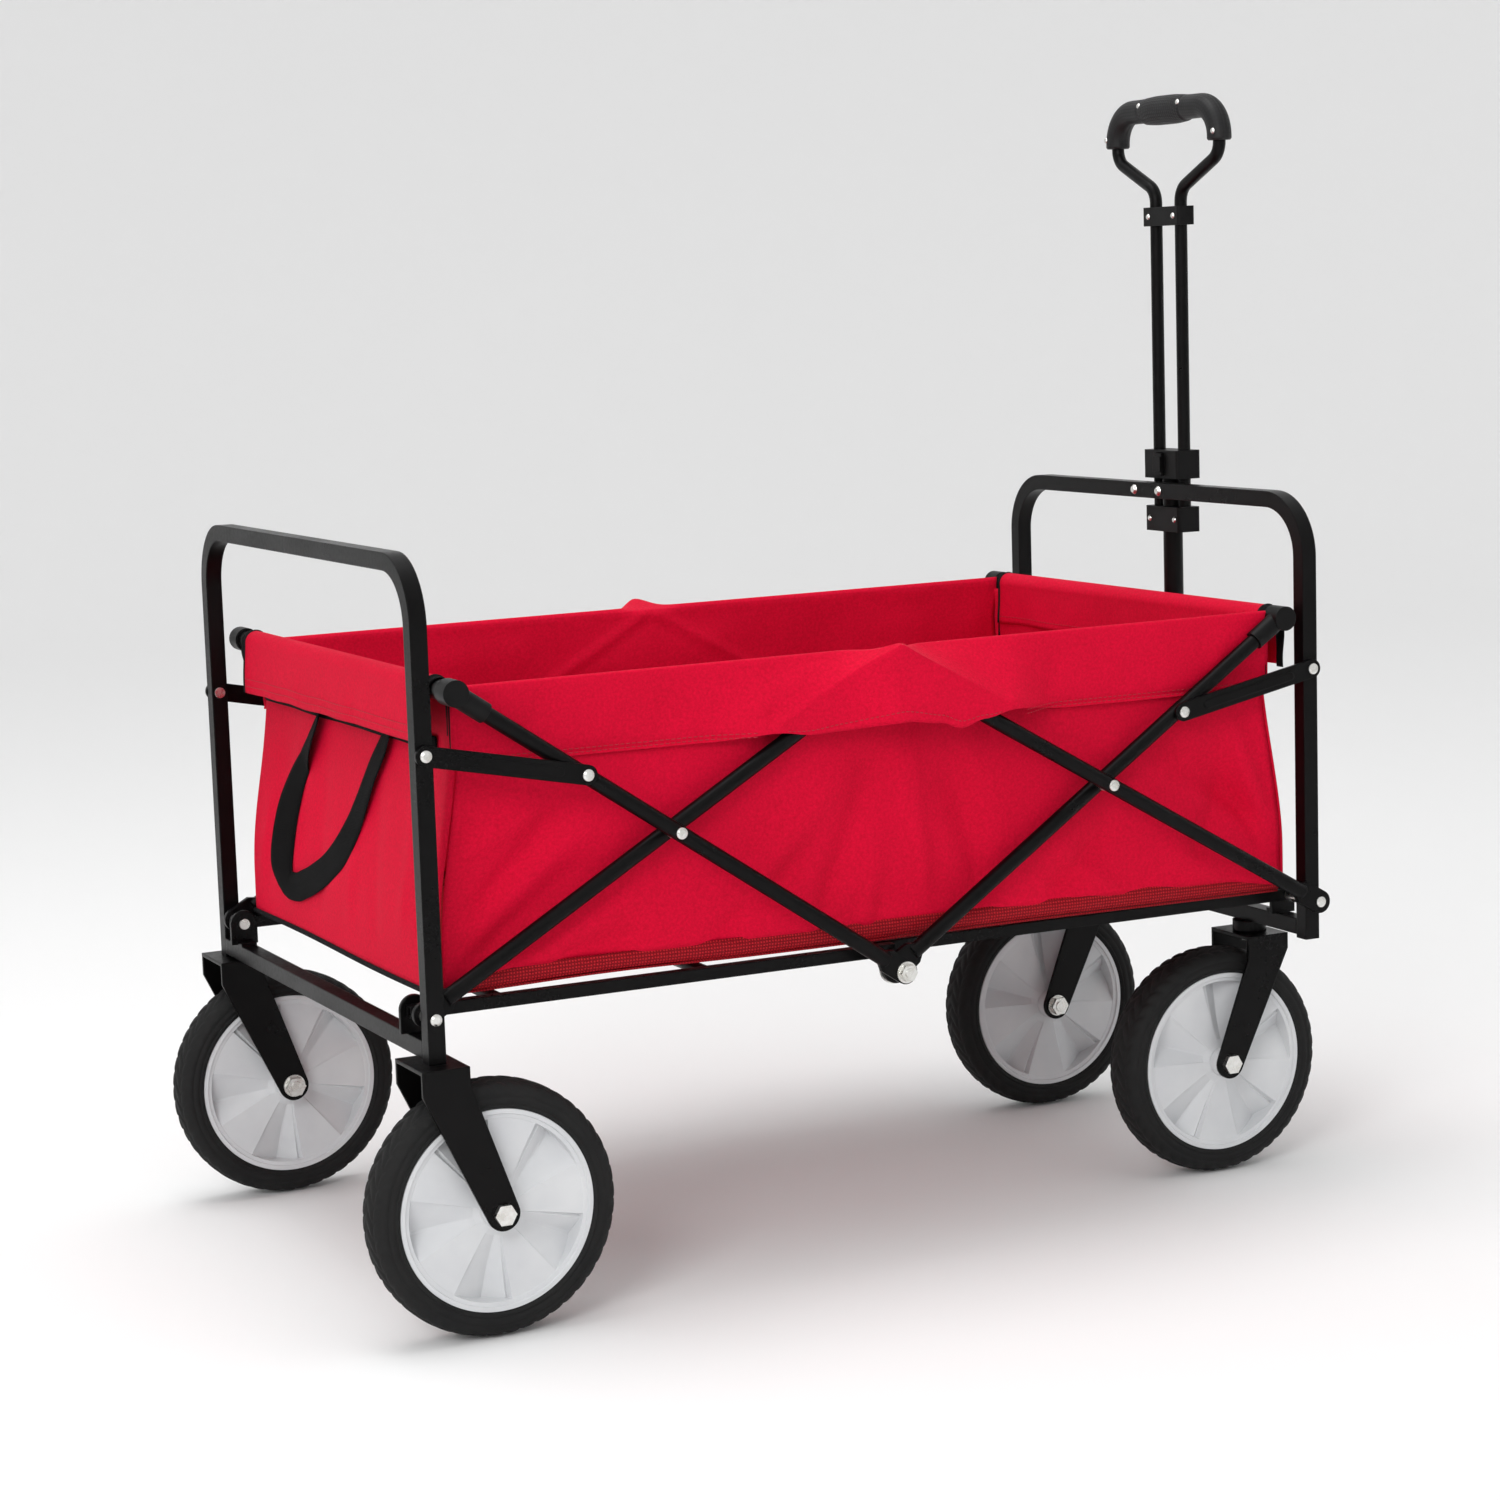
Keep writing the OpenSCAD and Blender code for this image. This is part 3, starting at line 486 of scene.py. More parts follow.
def rim_points(segments, out, hub_r, blades=5):
    """One face of the rim: flat blades, and between them valleys that deepen outwards."""
    radii = [hub_r, hub_r + 1.5, 20, 30, 40, 50, 60, 68, 72.2, 73.0, 75.8, 76.6, 80.0, 81.2]
    points = np.zeros((segments, len(radii), 3))
    for i in range(segments):
        a = math.tau * i / segments
        sector = (a * blades / math.tau) % 1.0  # 0..0.5 is a blade, 0.5..1 a valley
        if sector < 0.5:
            edge = min(sector, 0.5 - sector)
            low = 0.35 if edge < 0.012 else 0.0
        else:
            w = (sector - 0.5) / 0.5
            low = 1.0 - abs(w - 0.62) / (0.62 if w < 0.62 else 0.38)
            low = max(low, 0.0)
        for j, r in enumerate(radii):
            if r <= hub_r + 1.5:
                y = out - 1.2
            elif r < 72.5:
                t = (r - 16) / 56.2
                valley = low * 14.0 * t ** 0.85
                if sector >= 0.5:
                    valley += 1.4 * min(1.0, t * 3)
                y = out - 2.4 - valley - 1.2 * math.sin(math.pi * t)
            elif r < 74:
                y = out - 2.0
            elif r < 76.2:
                y = out - 1.6
            elif r < 80.5:
                y = out
            else:
                y = out - 3.5
            points[i, j] = (r * math.cos(a), y, r * math.sin(a))
    return points


def revolve_profile(profile, segments=64):
    points = np.zeros((segments, len(profile), 3))
    for i in range(segments):
        a = math.tau * i / segments
        for j, (r, y) in enumerate(profile):
            points[i, j] = (r * math.cos(a), y, r * math.sin(a))
    return points


def ring_piece(name, points, material, body, flip=False, smooth=True):
    nu, nv = points.shape[:2]
    faces = grid_faces(nu, nv, wrap_u=True)
    if flip:
        faces = [f[::-1] for f in faces]
    return piece(name, points.reshape(-1, 3), faces, material, body, smooth=smooth)


def join_grids(grids):
    """Several closed-in-u grids as one list of vertices and faces."""
    verts, faces = [], []
    for points, flip in grids:
        nu, nv = points.shape[:2]
        made = grid_faces(nu, nv, wrap_u=True, start=len(verts))
        faces += [f[::-1] for f in made] if flip else made
        verts += list(points.reshape(-1, 3))
    return verts, faces


def sharpen(obj, degrees):
    """Flat-sided facets stay crisp: edges over this angle are sharp."""
    obj.data.set_sharp_from_angle(angle=math.radians(degrees))


def make_wheel(tag):
    tyre_low, tyre_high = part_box("tyre_" + tag)
    centre = (tyre_low + tyre_high) / 2
    radius = mm(tyre_high.z - centre.z)
    half = mm(tyre_high.y - centre.y)
    rim_low, rim_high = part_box("rim_" + tag)
    hub = mm(rim_high.y - centre.y)
    body = tag.split("_")[0] + "_wheel_" + tag.split("_")[1]
    tyre_grid = tyre_points(368, radius, half)
    tyre = ring_piece("tyre_skin_" + tag, tyre_grid, rubber, None, flip=True)
    face = rim_points(200, half - 1.6, 13.5)
    back = face * np.array([1, -1, 1])
    hub_profile = [(5.4, hub), (11.2, hub), (12.6, hub - 1.2), (13.5, hub - 3.0), (13.5, half - 3.0)]
    hub_face = revolve_profile(hub_profile)
    hub_back = hub_face * np.array([1, -1, 1])
    bore = revolve_profile([(5.4, hub), (5.4, -hub)])
    verts, faces = join_grids([(face, False), (back, True), (hub_face, False), (hub_back, True), (bore, True)])
    rim = piece("rim_skin_" + tag, verts, faces, rim_mat, None)
    for obj in (tyre, rim):
        obj.data.transform(Matrix.Rotation(0.216 if "rear" in tag else 0.7, 4, "Y"))
        obj.location = centre
        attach(obj, body)
    sharpen(tyre, 50)
    sharpen(rim, 14)
    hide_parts("tyre_" + tag)
    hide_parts("rim_" + tag)


for wheel_tag in ("rear_left", "rear_right", "front_left", "front_right"):
    make_wheel(wheel_tag)


# ------------------------------------------------------------------ tub fabric
BOTTOM_Z = TUB_Z + 0.6
SEAM_Z = 447.5  # where the side cuff is sewn to the panel
HEM_Z = 444.0
NET_TOP = 13.0  # the mesh strip's height along the bottom
END_HEM_Z = 462.0
CORNER_TOP_X = 376.0  # the end panels hang from inside the crossbars and lean out to the bottom


def lean(z):
    """The end panel's distance from the middle at height z."""
    return TUB_X - 0.5 - (TUB_X - 0.5 - CORNER_TOP_X) * smooth_step(np.asarray(z, float), 300, 475)


def cloud(x, z, seed, scale):
    """Soft noise of about one unit, the same on each run."""
    return noise.noise(Vector((x / scale + seed * 7.3, z / scale - seed * 3.1, seed * 1.7)))


def folds(x, z, lines):
    """The sum of soft folds, each along a line: (x0, z0, x1, z1, half width, height)."""
    total = np.zeros_like(x)
    for x0, z0, x1, z1, wide, high in lines:
        dx, dz = x1 - x0, z1 - z0
        length = math.hypot(dx, dz)
        t = ((x - x0) * dx + (z - z0) * dz) / length ** 2
        away = ((x - x0) * dz - (z - z0) * dx) / length
        spread = wide * (0.65 + 0.7 * np.clip(t, 0, 1))
        fade = smooth_step(t, -0.12, 0.22) * (1 - smooth_step(t, 0.62, 1.12))
        total += high * fade * np.exp(-((away / spread) ** 2))
    return total


NEAR_FOLDS = [
    (-372, 285, -250, 372, 11, -5.0), (-350, 272, -212, 330, 9, 3.0), (-365, 330, -262, 425, 13, -4.5),
    (-388, 372, -300, 408, 9, 3.2), (-300, 276, -205, 300, 8, -2.6), (-170, 272, -60, 352, 12, -4.0),
    (-130, 300, -34, 420, 12, 3.2), (-60, 290, 4, 436, 14, -4.4), (38, 296, 20, 440, 12, 3.4),
    (96, 286, 60, 430, 15, -3.8), (150, 276, 236, 352, 12, -3.2), (228, 276, 150, 338, 9, 2.6),
    (392, 284, 318, 402, 12, -5.0), (385, 276, 352, 430, 9, 3.4), (372, 330, 250, 420, 12, -3.4),
    (340, 270, 268, 322, 8, 2.8), (-20, 276, -8, 340, 8, 2.4), (300, 300, 345, 372, 9, -2.8),
]
CUFF_FOLDS = [
    (-330, 452, -300, 500, 9, -1.6), (-262, 446, -228, 498, 10, 1.4), (-205, 450, -178, 500, 12, -1.8),
    (-150, 450, -60, 500, 9, 1.6), (-118, 446, -92, 478, 8, -2.0), (150, 448, 172, 502, 9, -1.8),
    (196, 446, 236, 498, 11, 1.6), (262, 452, 250, 500, 10, -1.5), (322, 450, 344, 504, 9, 1.5),
    (40, 500, 130, 462, 8, -1.5),
]


def ridge_z(x):
    """The height of the fabric over the bars at the middle of a side."""
    return PEAK_Z + 8.0 - 0.575 * np.abs(x)


def ridge_y(x):
    """How far out the bars push the cuff at x: the rear bar is the nearer to the tub."""
    ax = abs(x)
    outer = BAR_FRONT_Y + 1.8
    inner = BAR_REAR_Y + 2.2 if x < 0 else outer
    over = inner + (outer - inner) * math.exp(-((ax / 24) ** 2))
    return over + (SIDE_Y + 4.4 - over) * float(smooth_step(ax, 98, 172))


def soft_line(x, stations):
    """A smooth line through (x, value) stations."""
    for (x0, v0), (x1, v1) in zip(stations, stations[1:]):
        if x <= x1:
            return v0 + (v1 - v0) * float(smooth_step(x, x0, x1))
    return stations[-1][1]


# The lower edge of the cuff's loose flap over the bars
FLAP = [(-160, HEM_Z), (-104, 448.0), (-72, 444.0), (-45, 445.0), (5, 449.5), (36, 446.0), (55, 440.0),
        (78, 446.0), (106, 451.5), (176, HEM_Z)]


def side_profile(x):
    """One vertical strip of a side: up the inside, over the top, and down the outside as the cuff."""
    top = 505.0 + 2.4 * x / 390
    peak = math.exp(-((x / 20) ** 2))
    flare = math.exp(-((x / 13) ** 2))
    low = BOTTOM_Z + NET_TOP * (1 - float(smooth_step(abs(x), 330, 392)) * 0.75) - 2.5 * (x / 400)
    rows = [(SIDE_Y - 0.6, z, 0) for z in np.linspace(low, top, 46)]
    out_y = SIDE_Y + 4.4
    tip_y, tip_z = out_y + 27.5 * peak, top + 1.8 + 6.4 * flare
    for t in np.linspace(0.12, 0.88, 5):
        lift = math.sin(t * math.pi) * 2.2 * (1 - peak)
        rows.append((SIDE_Y - 0.6 + (tip_y - SIDE_Y + 0.6) * t, top + (tip_z - top) * t + lift, 1))
    bottom = soft_line(x, FLAP)
    ridge = max(min(ridge_z(x), tip_z - 0.7), bottom + 4.0)
    yr = ridge_y(x)
    for t in np.linspace(0, 1, 13):
        rows.append((tip_y + (yr - tip_y) * t ** 1.12, tip_z + (ridge - tip_z) * t, 2))
    for t in np.linspace(0, 1, 15)[1:]:
        rows.append((yr - 1.5 * t * float(abs(x) < 108), ridge + (bottom - ridge) * t, 2))
    seam = float(smooth_step(abs(x), 112, 168))
    made = []
    for y, z, layer in rows:
        if layer == 2:
            dent = 1.9 * math.exp(-(((z - SEAM_Z + 0.5) / 2.4) ** 2))
            y -= seam * (dent + 0.9 * math.exp(-((z - SEAM_Z) ** 2) / 900))
        made.append((y, z, layer))
    return made


def side_grid(s):
    xs = np.concatenate([np.linspace(-391, -140, 52, endpoint=False), np.linspace(-140, 140, 92, endpoint=False),
                         np.linspace(140, 391, 53)])
    columns = []
    for x in xs:
        rows = side_profile(float(x))
        y = np.array([r[0] for r in rows])
        z = np.array([r[1] for r in rows])
        layer = np.array([r[2] for r in rows])
        flat_x = np.full_like(z, x)
        reach = np.where(layer == 0, lean(z) / (TUB_X - 0.5), 0.966)
        blend_top = smooth_step(z, 470, 505)
        reach = np.where(layer == 0, reach * (1 - blend_top) + 0.966 * blend_top, reach)
        px = flat_x * (1 + (reach - 1) * smooth_step(np.abs(flat_x), 250, 391))
        fx = flat_x * (1 if s < 0 else -1)
        main = folds(fx + (0 if s < 0 else 23), z, NEAR_FOLDS) * 1.55
        noisy = np.array([cloud(a * 0.8, b, 1 + s, 46) * 2.2 + cloud(a, b * 0.6, 4 + s, 105) * 3.4
                          for a, b in zip(flat_x, z)])
        free = smooth_step(z, BOTTOM_Z + 2, 300) * (1 - smooth_step(z, 468, 503))
        ends = 1 - smooth_step(np.abs(flat_x), 372, 391)
        inner = (main - 1.5 + noisy) * free * (0.35 + 0.65 * ends)
        inner = np.minimum(inner, 2.6 + 0.3 * inner)
        crease = ridge_z(flat_x) - 8 - z
        inside_v = np.where(np.abs(flat_x) < 106, np.exp(-((crease / 4.0) ** 2)), 0.0)
        hollow = np.where(np.abs(flat_x) < 100, smooth_step(crease, 0, 24) * smooth_step(z, 440, 458), 0.0)
        inner += (-2.6 * inside_v - 0.8 * hollow) * (1 - smooth_step(z, 499, 505))
        cuff = folds(fx + (0 if s < 0 else -31), z, CUFF_FOLDS) * 0.8
        cuff += np.array([cloud(a, b * 0.7, 9 + s, 38) * 1.3 for a, b in zip(flat_x, z)])
        top_fade = 1 - smooth_step(z, 494, 508)
        seam_fade = np.where(np.abs(flat_x) > 112, smooth_step(z, 446, 462), 1.0)
        wave = np.where(np.abs(flat_x) < 108,
                        2.8 * np.sin((flat_x + 30) / 21.0) * (1 - smooth_step(z, 446, 484)), 0.0)
        outer = cuff * top_fade * (0.4 + 0.6 * seam_fade) + np.maximum(wave, -0.8)
        outer = np.maximum(outer, -1.4)
        y = y + np.where(layer == 0, inner, np.where(layer == 2, outer, 0.0))
        columns.append(np.stack([px, s * y, z], axis=1))
    return xs, np.array(columns)


def stitches(path, normals, length=3.4, gap=1.5, wide=0.75):
    """A row of short raised stitches along a path."""
    path, normals = np.asarray(path, float), np.asarray(normals, float)
    steps = np.linalg.norm(np.diff(path, axis=0), axis=1)
    along = np.concatenate([[0], np.cumsum(steps)])
    verts, faces = [], []
    at = gap
    while at + length < along[-1]:
        ends = [np.array([np.interp(q, along, path[:, k]) for k in range(3)]) for q in (at, at + length)]
        normal = np.array([np.interp(at, along, normals[:, k]) for k in range(3)])
        normal /= np.linalg.norm(normal)
        direction = (ends[1] - ends[0]) / max(np.linalg.norm(ends[1] - ends[0]), 1e-9)
        side = np.cross(normal, direction)
        base = len(verts)
        for q, lift in ((0.0, -0.15), (0.3, 0.5), (0.7, 0.5), (1.0, -0.15)):
            point = ends[0] + (ends[1] - ends[0]) * q + normal * lift
            verts += [point + side * wide / 2, point + normal * 0.25, point - side * wide / 2]
        for i in range(3):
            for j in range(2):
                a = base + i * 3 + j
                faces.append((a, a + 3, a + 4, a + 1))
        at += length + gap
    return verts, faces


stitch_rows = {"sides": ([], []), "rear": ([], []), "front": ([], [])}


def add_stitches(where, path, normals, **more):
    verts, faces = stitches(path, normals, **more)
    all_verts, all_faces = stitch_rows[where]
    base = len(all_verts)
    all_verts.extend(verts)
    all_faces.extend(tuple(base + k for k in f) for f in faces)


soft_pieces = []  # the sides, their net strips, the floor and the side stitching
end_pieces = {"rear": [], "front": []}  # the pieces at each end
for s, side_name in ((1, "left"), (-1, "right")):
    side_xs, side = side_grid(s)
    sheet = cloth_grid("tub_side_" + side_name, side, red, flip=(s < 0), offset=0.0)
    soft_pieces.append(sheet)
    # Two rows of stitches along the cuff's seam, clear of the loose flap, and one row along the flap's hem
    outer = side[:, 51:, :]
    for row_z in (SEAM_Z + 2.0, SEAM_Z - 1.2):
        for lo, hi in ((-376, -116), (116, 376)):
            picked = [k for k in range(len(side_xs)) if lo <= side_xs[k] <= hi]
            line = []
            for k in picked:
                column = outer[k]
                order = np.argsort(column[:, 2])
                z_sorted, y_sorted = column[order, 2], column[order, 1]
                line.append((column[0, 0], np.interp(row_z, z_sorted, y_sorted) + s * 0.75, row_z))
            add_stitches("sides", line, [(0, s, 0)] * len(line))
    picked = [k for k in range(len(side_xs)) if abs(side_xs[k]) < 100]
    hem = [outer[k][-3] + np.array([0, s * 0.8, 0]) for k in picked]
    add_stitches("sides", hem, [(0, s, 0)] * len(hem), length=2.8)


def bottom_edge(x):
    """The side's lower edge sags a little between the rails."""
    return TUB_Z + 0.4 + 2.2 * math.exp(-(((x + 250) / 90) ** 2)) - 2.0 * float(smooth_step(x, 100, 390))


for s, side_name in ((1, "left"), (-1, "right")):
    xs = np.linspace(-390, 390, 130)
    strip = np.zeros((len(xs), 9, 3))
    for i, x in enumerate(xs):
        top = BOTTOM_Z + NET_TOP * (1 - float(smooth_step(abs(x), 330, 392)) * 0.75) - 1.5 * (x / 400) + 2.5
        low = bottom_edge(x)
        for j, t in enumerate(np.linspace(0, 1, 9)):
            z = low + (top - low) * t
            y = SIDE_Y - 1.4 + 2.0 * math.sin(math.pi * t) * (0.8 + 0.3 * cloud(x, 0, 3, 60)) - 2.2 * (1 - t) ** 3
            strip[i, j] = (x, s * y, z)
    net = cloth_grid("tub_net_strip_" + side_name, strip, red_net, thick=0.8, flip=(s < 0))
    soft_pieces.append(net)
    roll = tube("tub_net_binding_" + side_name,
                [(x, s * (SIDE_Y - 1.2), bottom_edge(x) - 0.3) for x in np.linspace(-389, 389, 110)],
                0.9, red_net, "tub", sides=8)
    soft_pieces.append(roll)


END_FOLDS = [
    (-190, 272, -150, 420, 16, -3.6), (-120, 268, -118, 440, 14, 2.6), (-40, 290, -64, 450, 16, -3.0),
    (24, 272, 40, 420, 13, 2.4), (92, 270, 70, 440, 15, -3.4), (150, 290, 168, 452, 12, 2.6),
    (205, 276, 170, 350, 11, -3.0), (-205, 300, -176, 380, 9, 2.6),
]


def end_panel_grid(e):
    """The panel below an end's cuff: it leans out to the bottom."""
    ys = np.concatenate([[-SIDE_Y + 0.4, -SIDE_Y + 1.4, -SIDE_Y + 3.4], np.linspace(-SIDE_Y + 7, SIDE_Y - 7, 92),
                         [SIDE_Y - 3.4, SIDE_Y - 1.4, SIDE_Y - 0.4]])
    zs = np.linspace(TUB_Z + 0.5, 500, 46)
    points = np.zeros((len(ys), len(zs), 3))
    for i, y in enumerate(ys):
        for j, z in enumerate(zs):
            free = float(smooth_step(z, TUB_Z + 2, 320) * (1 - smooth_step(z, 440, 480)))
            ends = float(1 - smooth_step(abs(y), 190, SIDE_Y))
            out = folds(np.array([y * e]), np.array([z]), END_FOLDS)[0] * 0.65 + cloud(y, z, 12 + e, 70) * 2.2
            out = min(out, 1.2) * free * (0.3 + 0.7 * ends)
            corner = max(0.0, abs(y) - (SIDE_Y - 7)) / 7
            x = float(lean(z)) + out - 4.5 * corner ** 3
            points[i, j] = (e * x, y, z)
    return points


def end_cuff_profile():
    """The cuff over an upper crossbar: (distance from the middle, height), from its inner hem to its outer hem."""
    r = BEAM_R + 1.6
    inner = [(BEAM_X - r + 0.2, z) for z in np.linspace(467, BEAM_Z - 2, 12)]
    over = [(BEAM_X - r * math.cos(a), BEAM_Z + r * math.sin(a)) for a in np.linspace(0.0, math.pi, 15)]
    outer = [(BEAM_X + r + 1.6 * math.sin((BEAM_Z - 2 - z) / (BEAM_Z - END_HEM_Z) * 2.2), z)
             for z in np.linspace(BEAM_Z - 2, END_HEM_Z, 14)]
    return inner + over + outer


def end_cuff_grid(e):
    profile = end_cuff_profile()
    ys = np.linspace(-219, 219, 110)
    points = np.zeros((len(ys), len(profile), 3))
    for i, y in enumerate(ys):
        for j, (x, z) in enumerate(profile):
            low = 1 - float(smooth_step(z, 462, 500))
            wob = cloud(y, z, 20 + e, 34) * 1.5 + cloud(y, 0, 24 + e, 80) * 1.8
            push = (1 if x > BEAM_X else -1) * max(wob, -0.6) * low
            z_push = (cloud(y, 0, 27 + e, 50) * 1.5) * low
            points[i, j] = (e * (x + push), y, z + z_push)
    return points


piping_mat = webbing("black_binding", (0.006, 0.006, 0.007), (0.02, 0.02, 0.021))
for e, end_name in ((-1, "rear"), (1, "front")):
    panel_points = end_panel_grid(e)
    panel = cloth_grid("tub_end_" + end_name, panel_points, red, flip=(e > 0), offset=0.0)
    cuff_points = end_cuff_grid(e)
    cuff = cloth_grid("tub_end_cuff_" + end_name, cuff_points, red, flip=(e < 0), offset=0.0, thick=1.4)
    end_pieces[end_name] += [panel, cuff]
    # Two stitch rows near the outer hem, and one near the inner hem
    for row in (-3, -5):
        line = cuff_points[:, row] + np.array([e * 0.85, 0, 0])
        add_stitches(end_name, line, [(e, 0, 0)] * len(line))
    line = cuff_points[:, 2] - np.array([e * 0.85, 0, 0])
    add_stitches(end_name, line, [(-e, 0, 0)] * len(line))
    # Black binding: the cuff's two cut ends, the panel's foot, and the tape under the cuff
    for s, side_name in ((1, "left"), (-1, "right")):
        column = cuff_points[-1 if s > 0 else 0].copy()
        column[:, 1] += s * 0.6
        end_pieces[end_name].append(tube(f"cuff_binding_{end_name}_{side_name}", column, 1.7, piping_mat, "tub",
                                         sides=8))
    foot = [(e * (TUB_X - 0.2), y, TUB_Z - 0.2 + 0.8 * math.sin(y / 60)) for y in np.linspace(-224, 224, 60)]
    foot_roll = tube("foot_binding_" + end_name, foot, 2.4, piping_mat, "tub", sides=8)
    end_pieces[end_name].append(foot_roll)
    tape_x = e * (float(lean(457.0)) + 2.2)
    tape_path = [(tape_x, y, 459.0 + cloud(y, 0, 31, 60)) for y in np.linspace(-200, 217, 50)]
    tape = ribbon("cuff_tape_" + end_name, tape_path, [(0, 0, 1)] * 50, 12.0, black_tape, "tub")
    end_pieces[end_name].append(tape)


def floor_grid():
    xs = np.linspace(-TUB_X + 3, TUB_X - 3, 100)
    ys = np.linspace(-SIDE_Y + 2.4, SIDE_Y - 2.4, 60)
    points = np.zeros((len(xs), len(ys), 3))
    for i, x in enumerate(xs):
        for j, y in enumerate(ys):
            edge = float((1 - smooth_step(abs(x), 350, 392)) * (1 - smooth_step(abs(y), 190, 222)))
            z = TUB_Z + 1.6 + edge * (cloud(x, y, 40, 70) * 1.1 + 0.6 * math.cos(x / 46.0))
            points[i, j] = (x, y, z)
    return points


floor_cloth = cloth_grid("tub_floor_mesh", floor_grid(), red_net, thick=1.0)
soft_pieces.append(floor_cloth)
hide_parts("tub_panels")
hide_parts("tub_floor")

for where, (stitch_verts, stitch_faces) in stitch_rows.items():
    stitching = piece("tub_stitching_" + where, stitch_verts, stitch_faces, red_thread, "tub")
    end_pieces.get(where, soft_pieces).append(stitching)


# ------------------------------------------------------------------ straps and ties
def smooth_path(stations, count):
    """A curve through the stations, as count evenly spaced rows of their values."""
    p = np.asarray(stations, float)
    p = np.vstack([2 * p[0] - p[1], p, 2 * p[-1] - p[-2]])
    rows = []
    for i in range(1, len(p) - 2):
        for t in np.linspace(0, 1, 20, endpoint=False):
            a, b, c, d = p[i - 1], p[i], p[i + 1], p[i + 2]
            rows.append(0.5 * (2 * b + (c - a) * t + (2 * a - 5 * b + 4 * c - d) * t ** 2
                               + (3 * b - a - 3 * c + d) * t ** 3))
    rows.append(p[-2])
    rows = np.array(rows)
    along = np.concatenate([[0], np.cumsum(np.linalg.norm(np.diff(rows[:, :2], axis=0), axis=1))])
    at = np.linspace(0, along[-1], count)
    return np.stack([np.interp(at, along, rows[:, k]) for k in range(rows.shape[1])], axis=1)


# The carry strap's middle line on the rear panel: (y, z, twist in degrees from flat on the panel)
STRAP = [(62, 472, 26), (66, 452, 26), (88, 426, 16), (106, 404, -6), (114, 376, -24), (118, 346, -30),
         (121, 320, -26), (117, 306, -8), (96, 305, 0), (78, 310, 0), (56, 317, 0), (20, 332, 0), (-16, 354, 4),
         (-42, 386, -2), (-67, 422, -10), (-92, 448, -14), (-107, 472, -14)]


def carry_strap():
    width = 25.0
    line = smooth_path(STRAP, 110)
    tangent = np.gradient(line[:, :2], axis=0)
    tangent /= np.linalg.norm(tangent, axis=1, keepdims=True)
    path, wide = [], []
    for (y, z, twist), (ty, tz) in zip(line, tangent):
        a = math.radians(twist)
        out = width / 2 * abs(math.sin(a)) * float(1 - smooth_step(z, 440, 462)) + 2.6
        path.append((-(float(lean(z)) + out + 3.0 * float(smooth_step(z, 440, 462))), y, z))
        wide.append((math.sin(a), -tz * math.cos(a), ty * math.cos(a)))
    obj = ribbon("carry_strap_webbing", path, wide, width, black_tape, "tub", thick=1.8)
    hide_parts("carry_strap")
    return obj


end_pieces["rear"].append(carry_strap())


def tie(name, x, y, drop_out, drop_in, width, e, s):
    """A webbing tie looped over the crossbar's end, hanging down on both sides."""
    r = BEAM_R + 1.4
    path = [(e * (x - r), s * y, z) for z in np.linspace(BEAM_Z - drop_in, BEAM_Z, 10)]
    path += [(e * (x - r * math.cos(a)), s * y, BEAM_Z + r * math.sin(a))
             for a in np.linspace(0.15, math.pi - 0.15, 11)]
    path += [(e * (x + r + 1.0 * math.sin(i * 0.5)), s * y, z)
             for i, z in enumerate(np.linspace(BEAM_Z, BEAM_Z - drop_out, 12))]
    return ribbon(name, path, [(0, 1, 0)] * len(path), width, black_tape, "tub", thick=1.5)


for e, end_name in ((-1, "rear"), (1, "front")):
    for s, side_name in ((1, "left"), (-1, "right")):
        drop_out = 44 if e > 0 else 24
        corner_tie = tie(f"corner_tie_{end_name}_{side_name}", BEAM_X, 225.4, drop_out, 52, 9.0, e, s)
        end_pieces[end_name].append(corner_tie)

# Folded places: the crossbars' centres move along x to these places, and rise as much as the tub does. Nothing
# below moves a piece; each piece only gets its own mesh.
REAR_FOLDED = -406.6
FRONT_FOLDED = -252.0
FRAME_TRAVEL = -658.6  # how far the front frame moves along x


def fold_between(obj):
    """Give a piece its own copy of its mesh."""
    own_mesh(obj)


folded_ends = ((-1, "rear", REAR_FOLDED, -HALF), (1, "front", FRONT_FOLDED, HALF + FRAME_TRAVEL))
for e, end_name, bar_x, frame_x in folded_ends:
    round_bar = [obj for obj in end_pieces[end_name]
                 if obj.name.startswith(("tub_end_cuff", "cuff_binding", "corner_tie", "tub_stitching"))]
    for obj in round_bar:
        fold_between(obj)
    # The panel and what lies on it, and how far out they reach
    on_panel = [obj for obj in end_pieces[end_name] if obj not in round_bar]
    outer = e * max(abs(v.co.x) for obj in on_panel for v in obj.data.vertices) / MM
    for obj in on_panel:
        fold_between(obj)
for obj in soft_pieces:
    fold_between(obj)


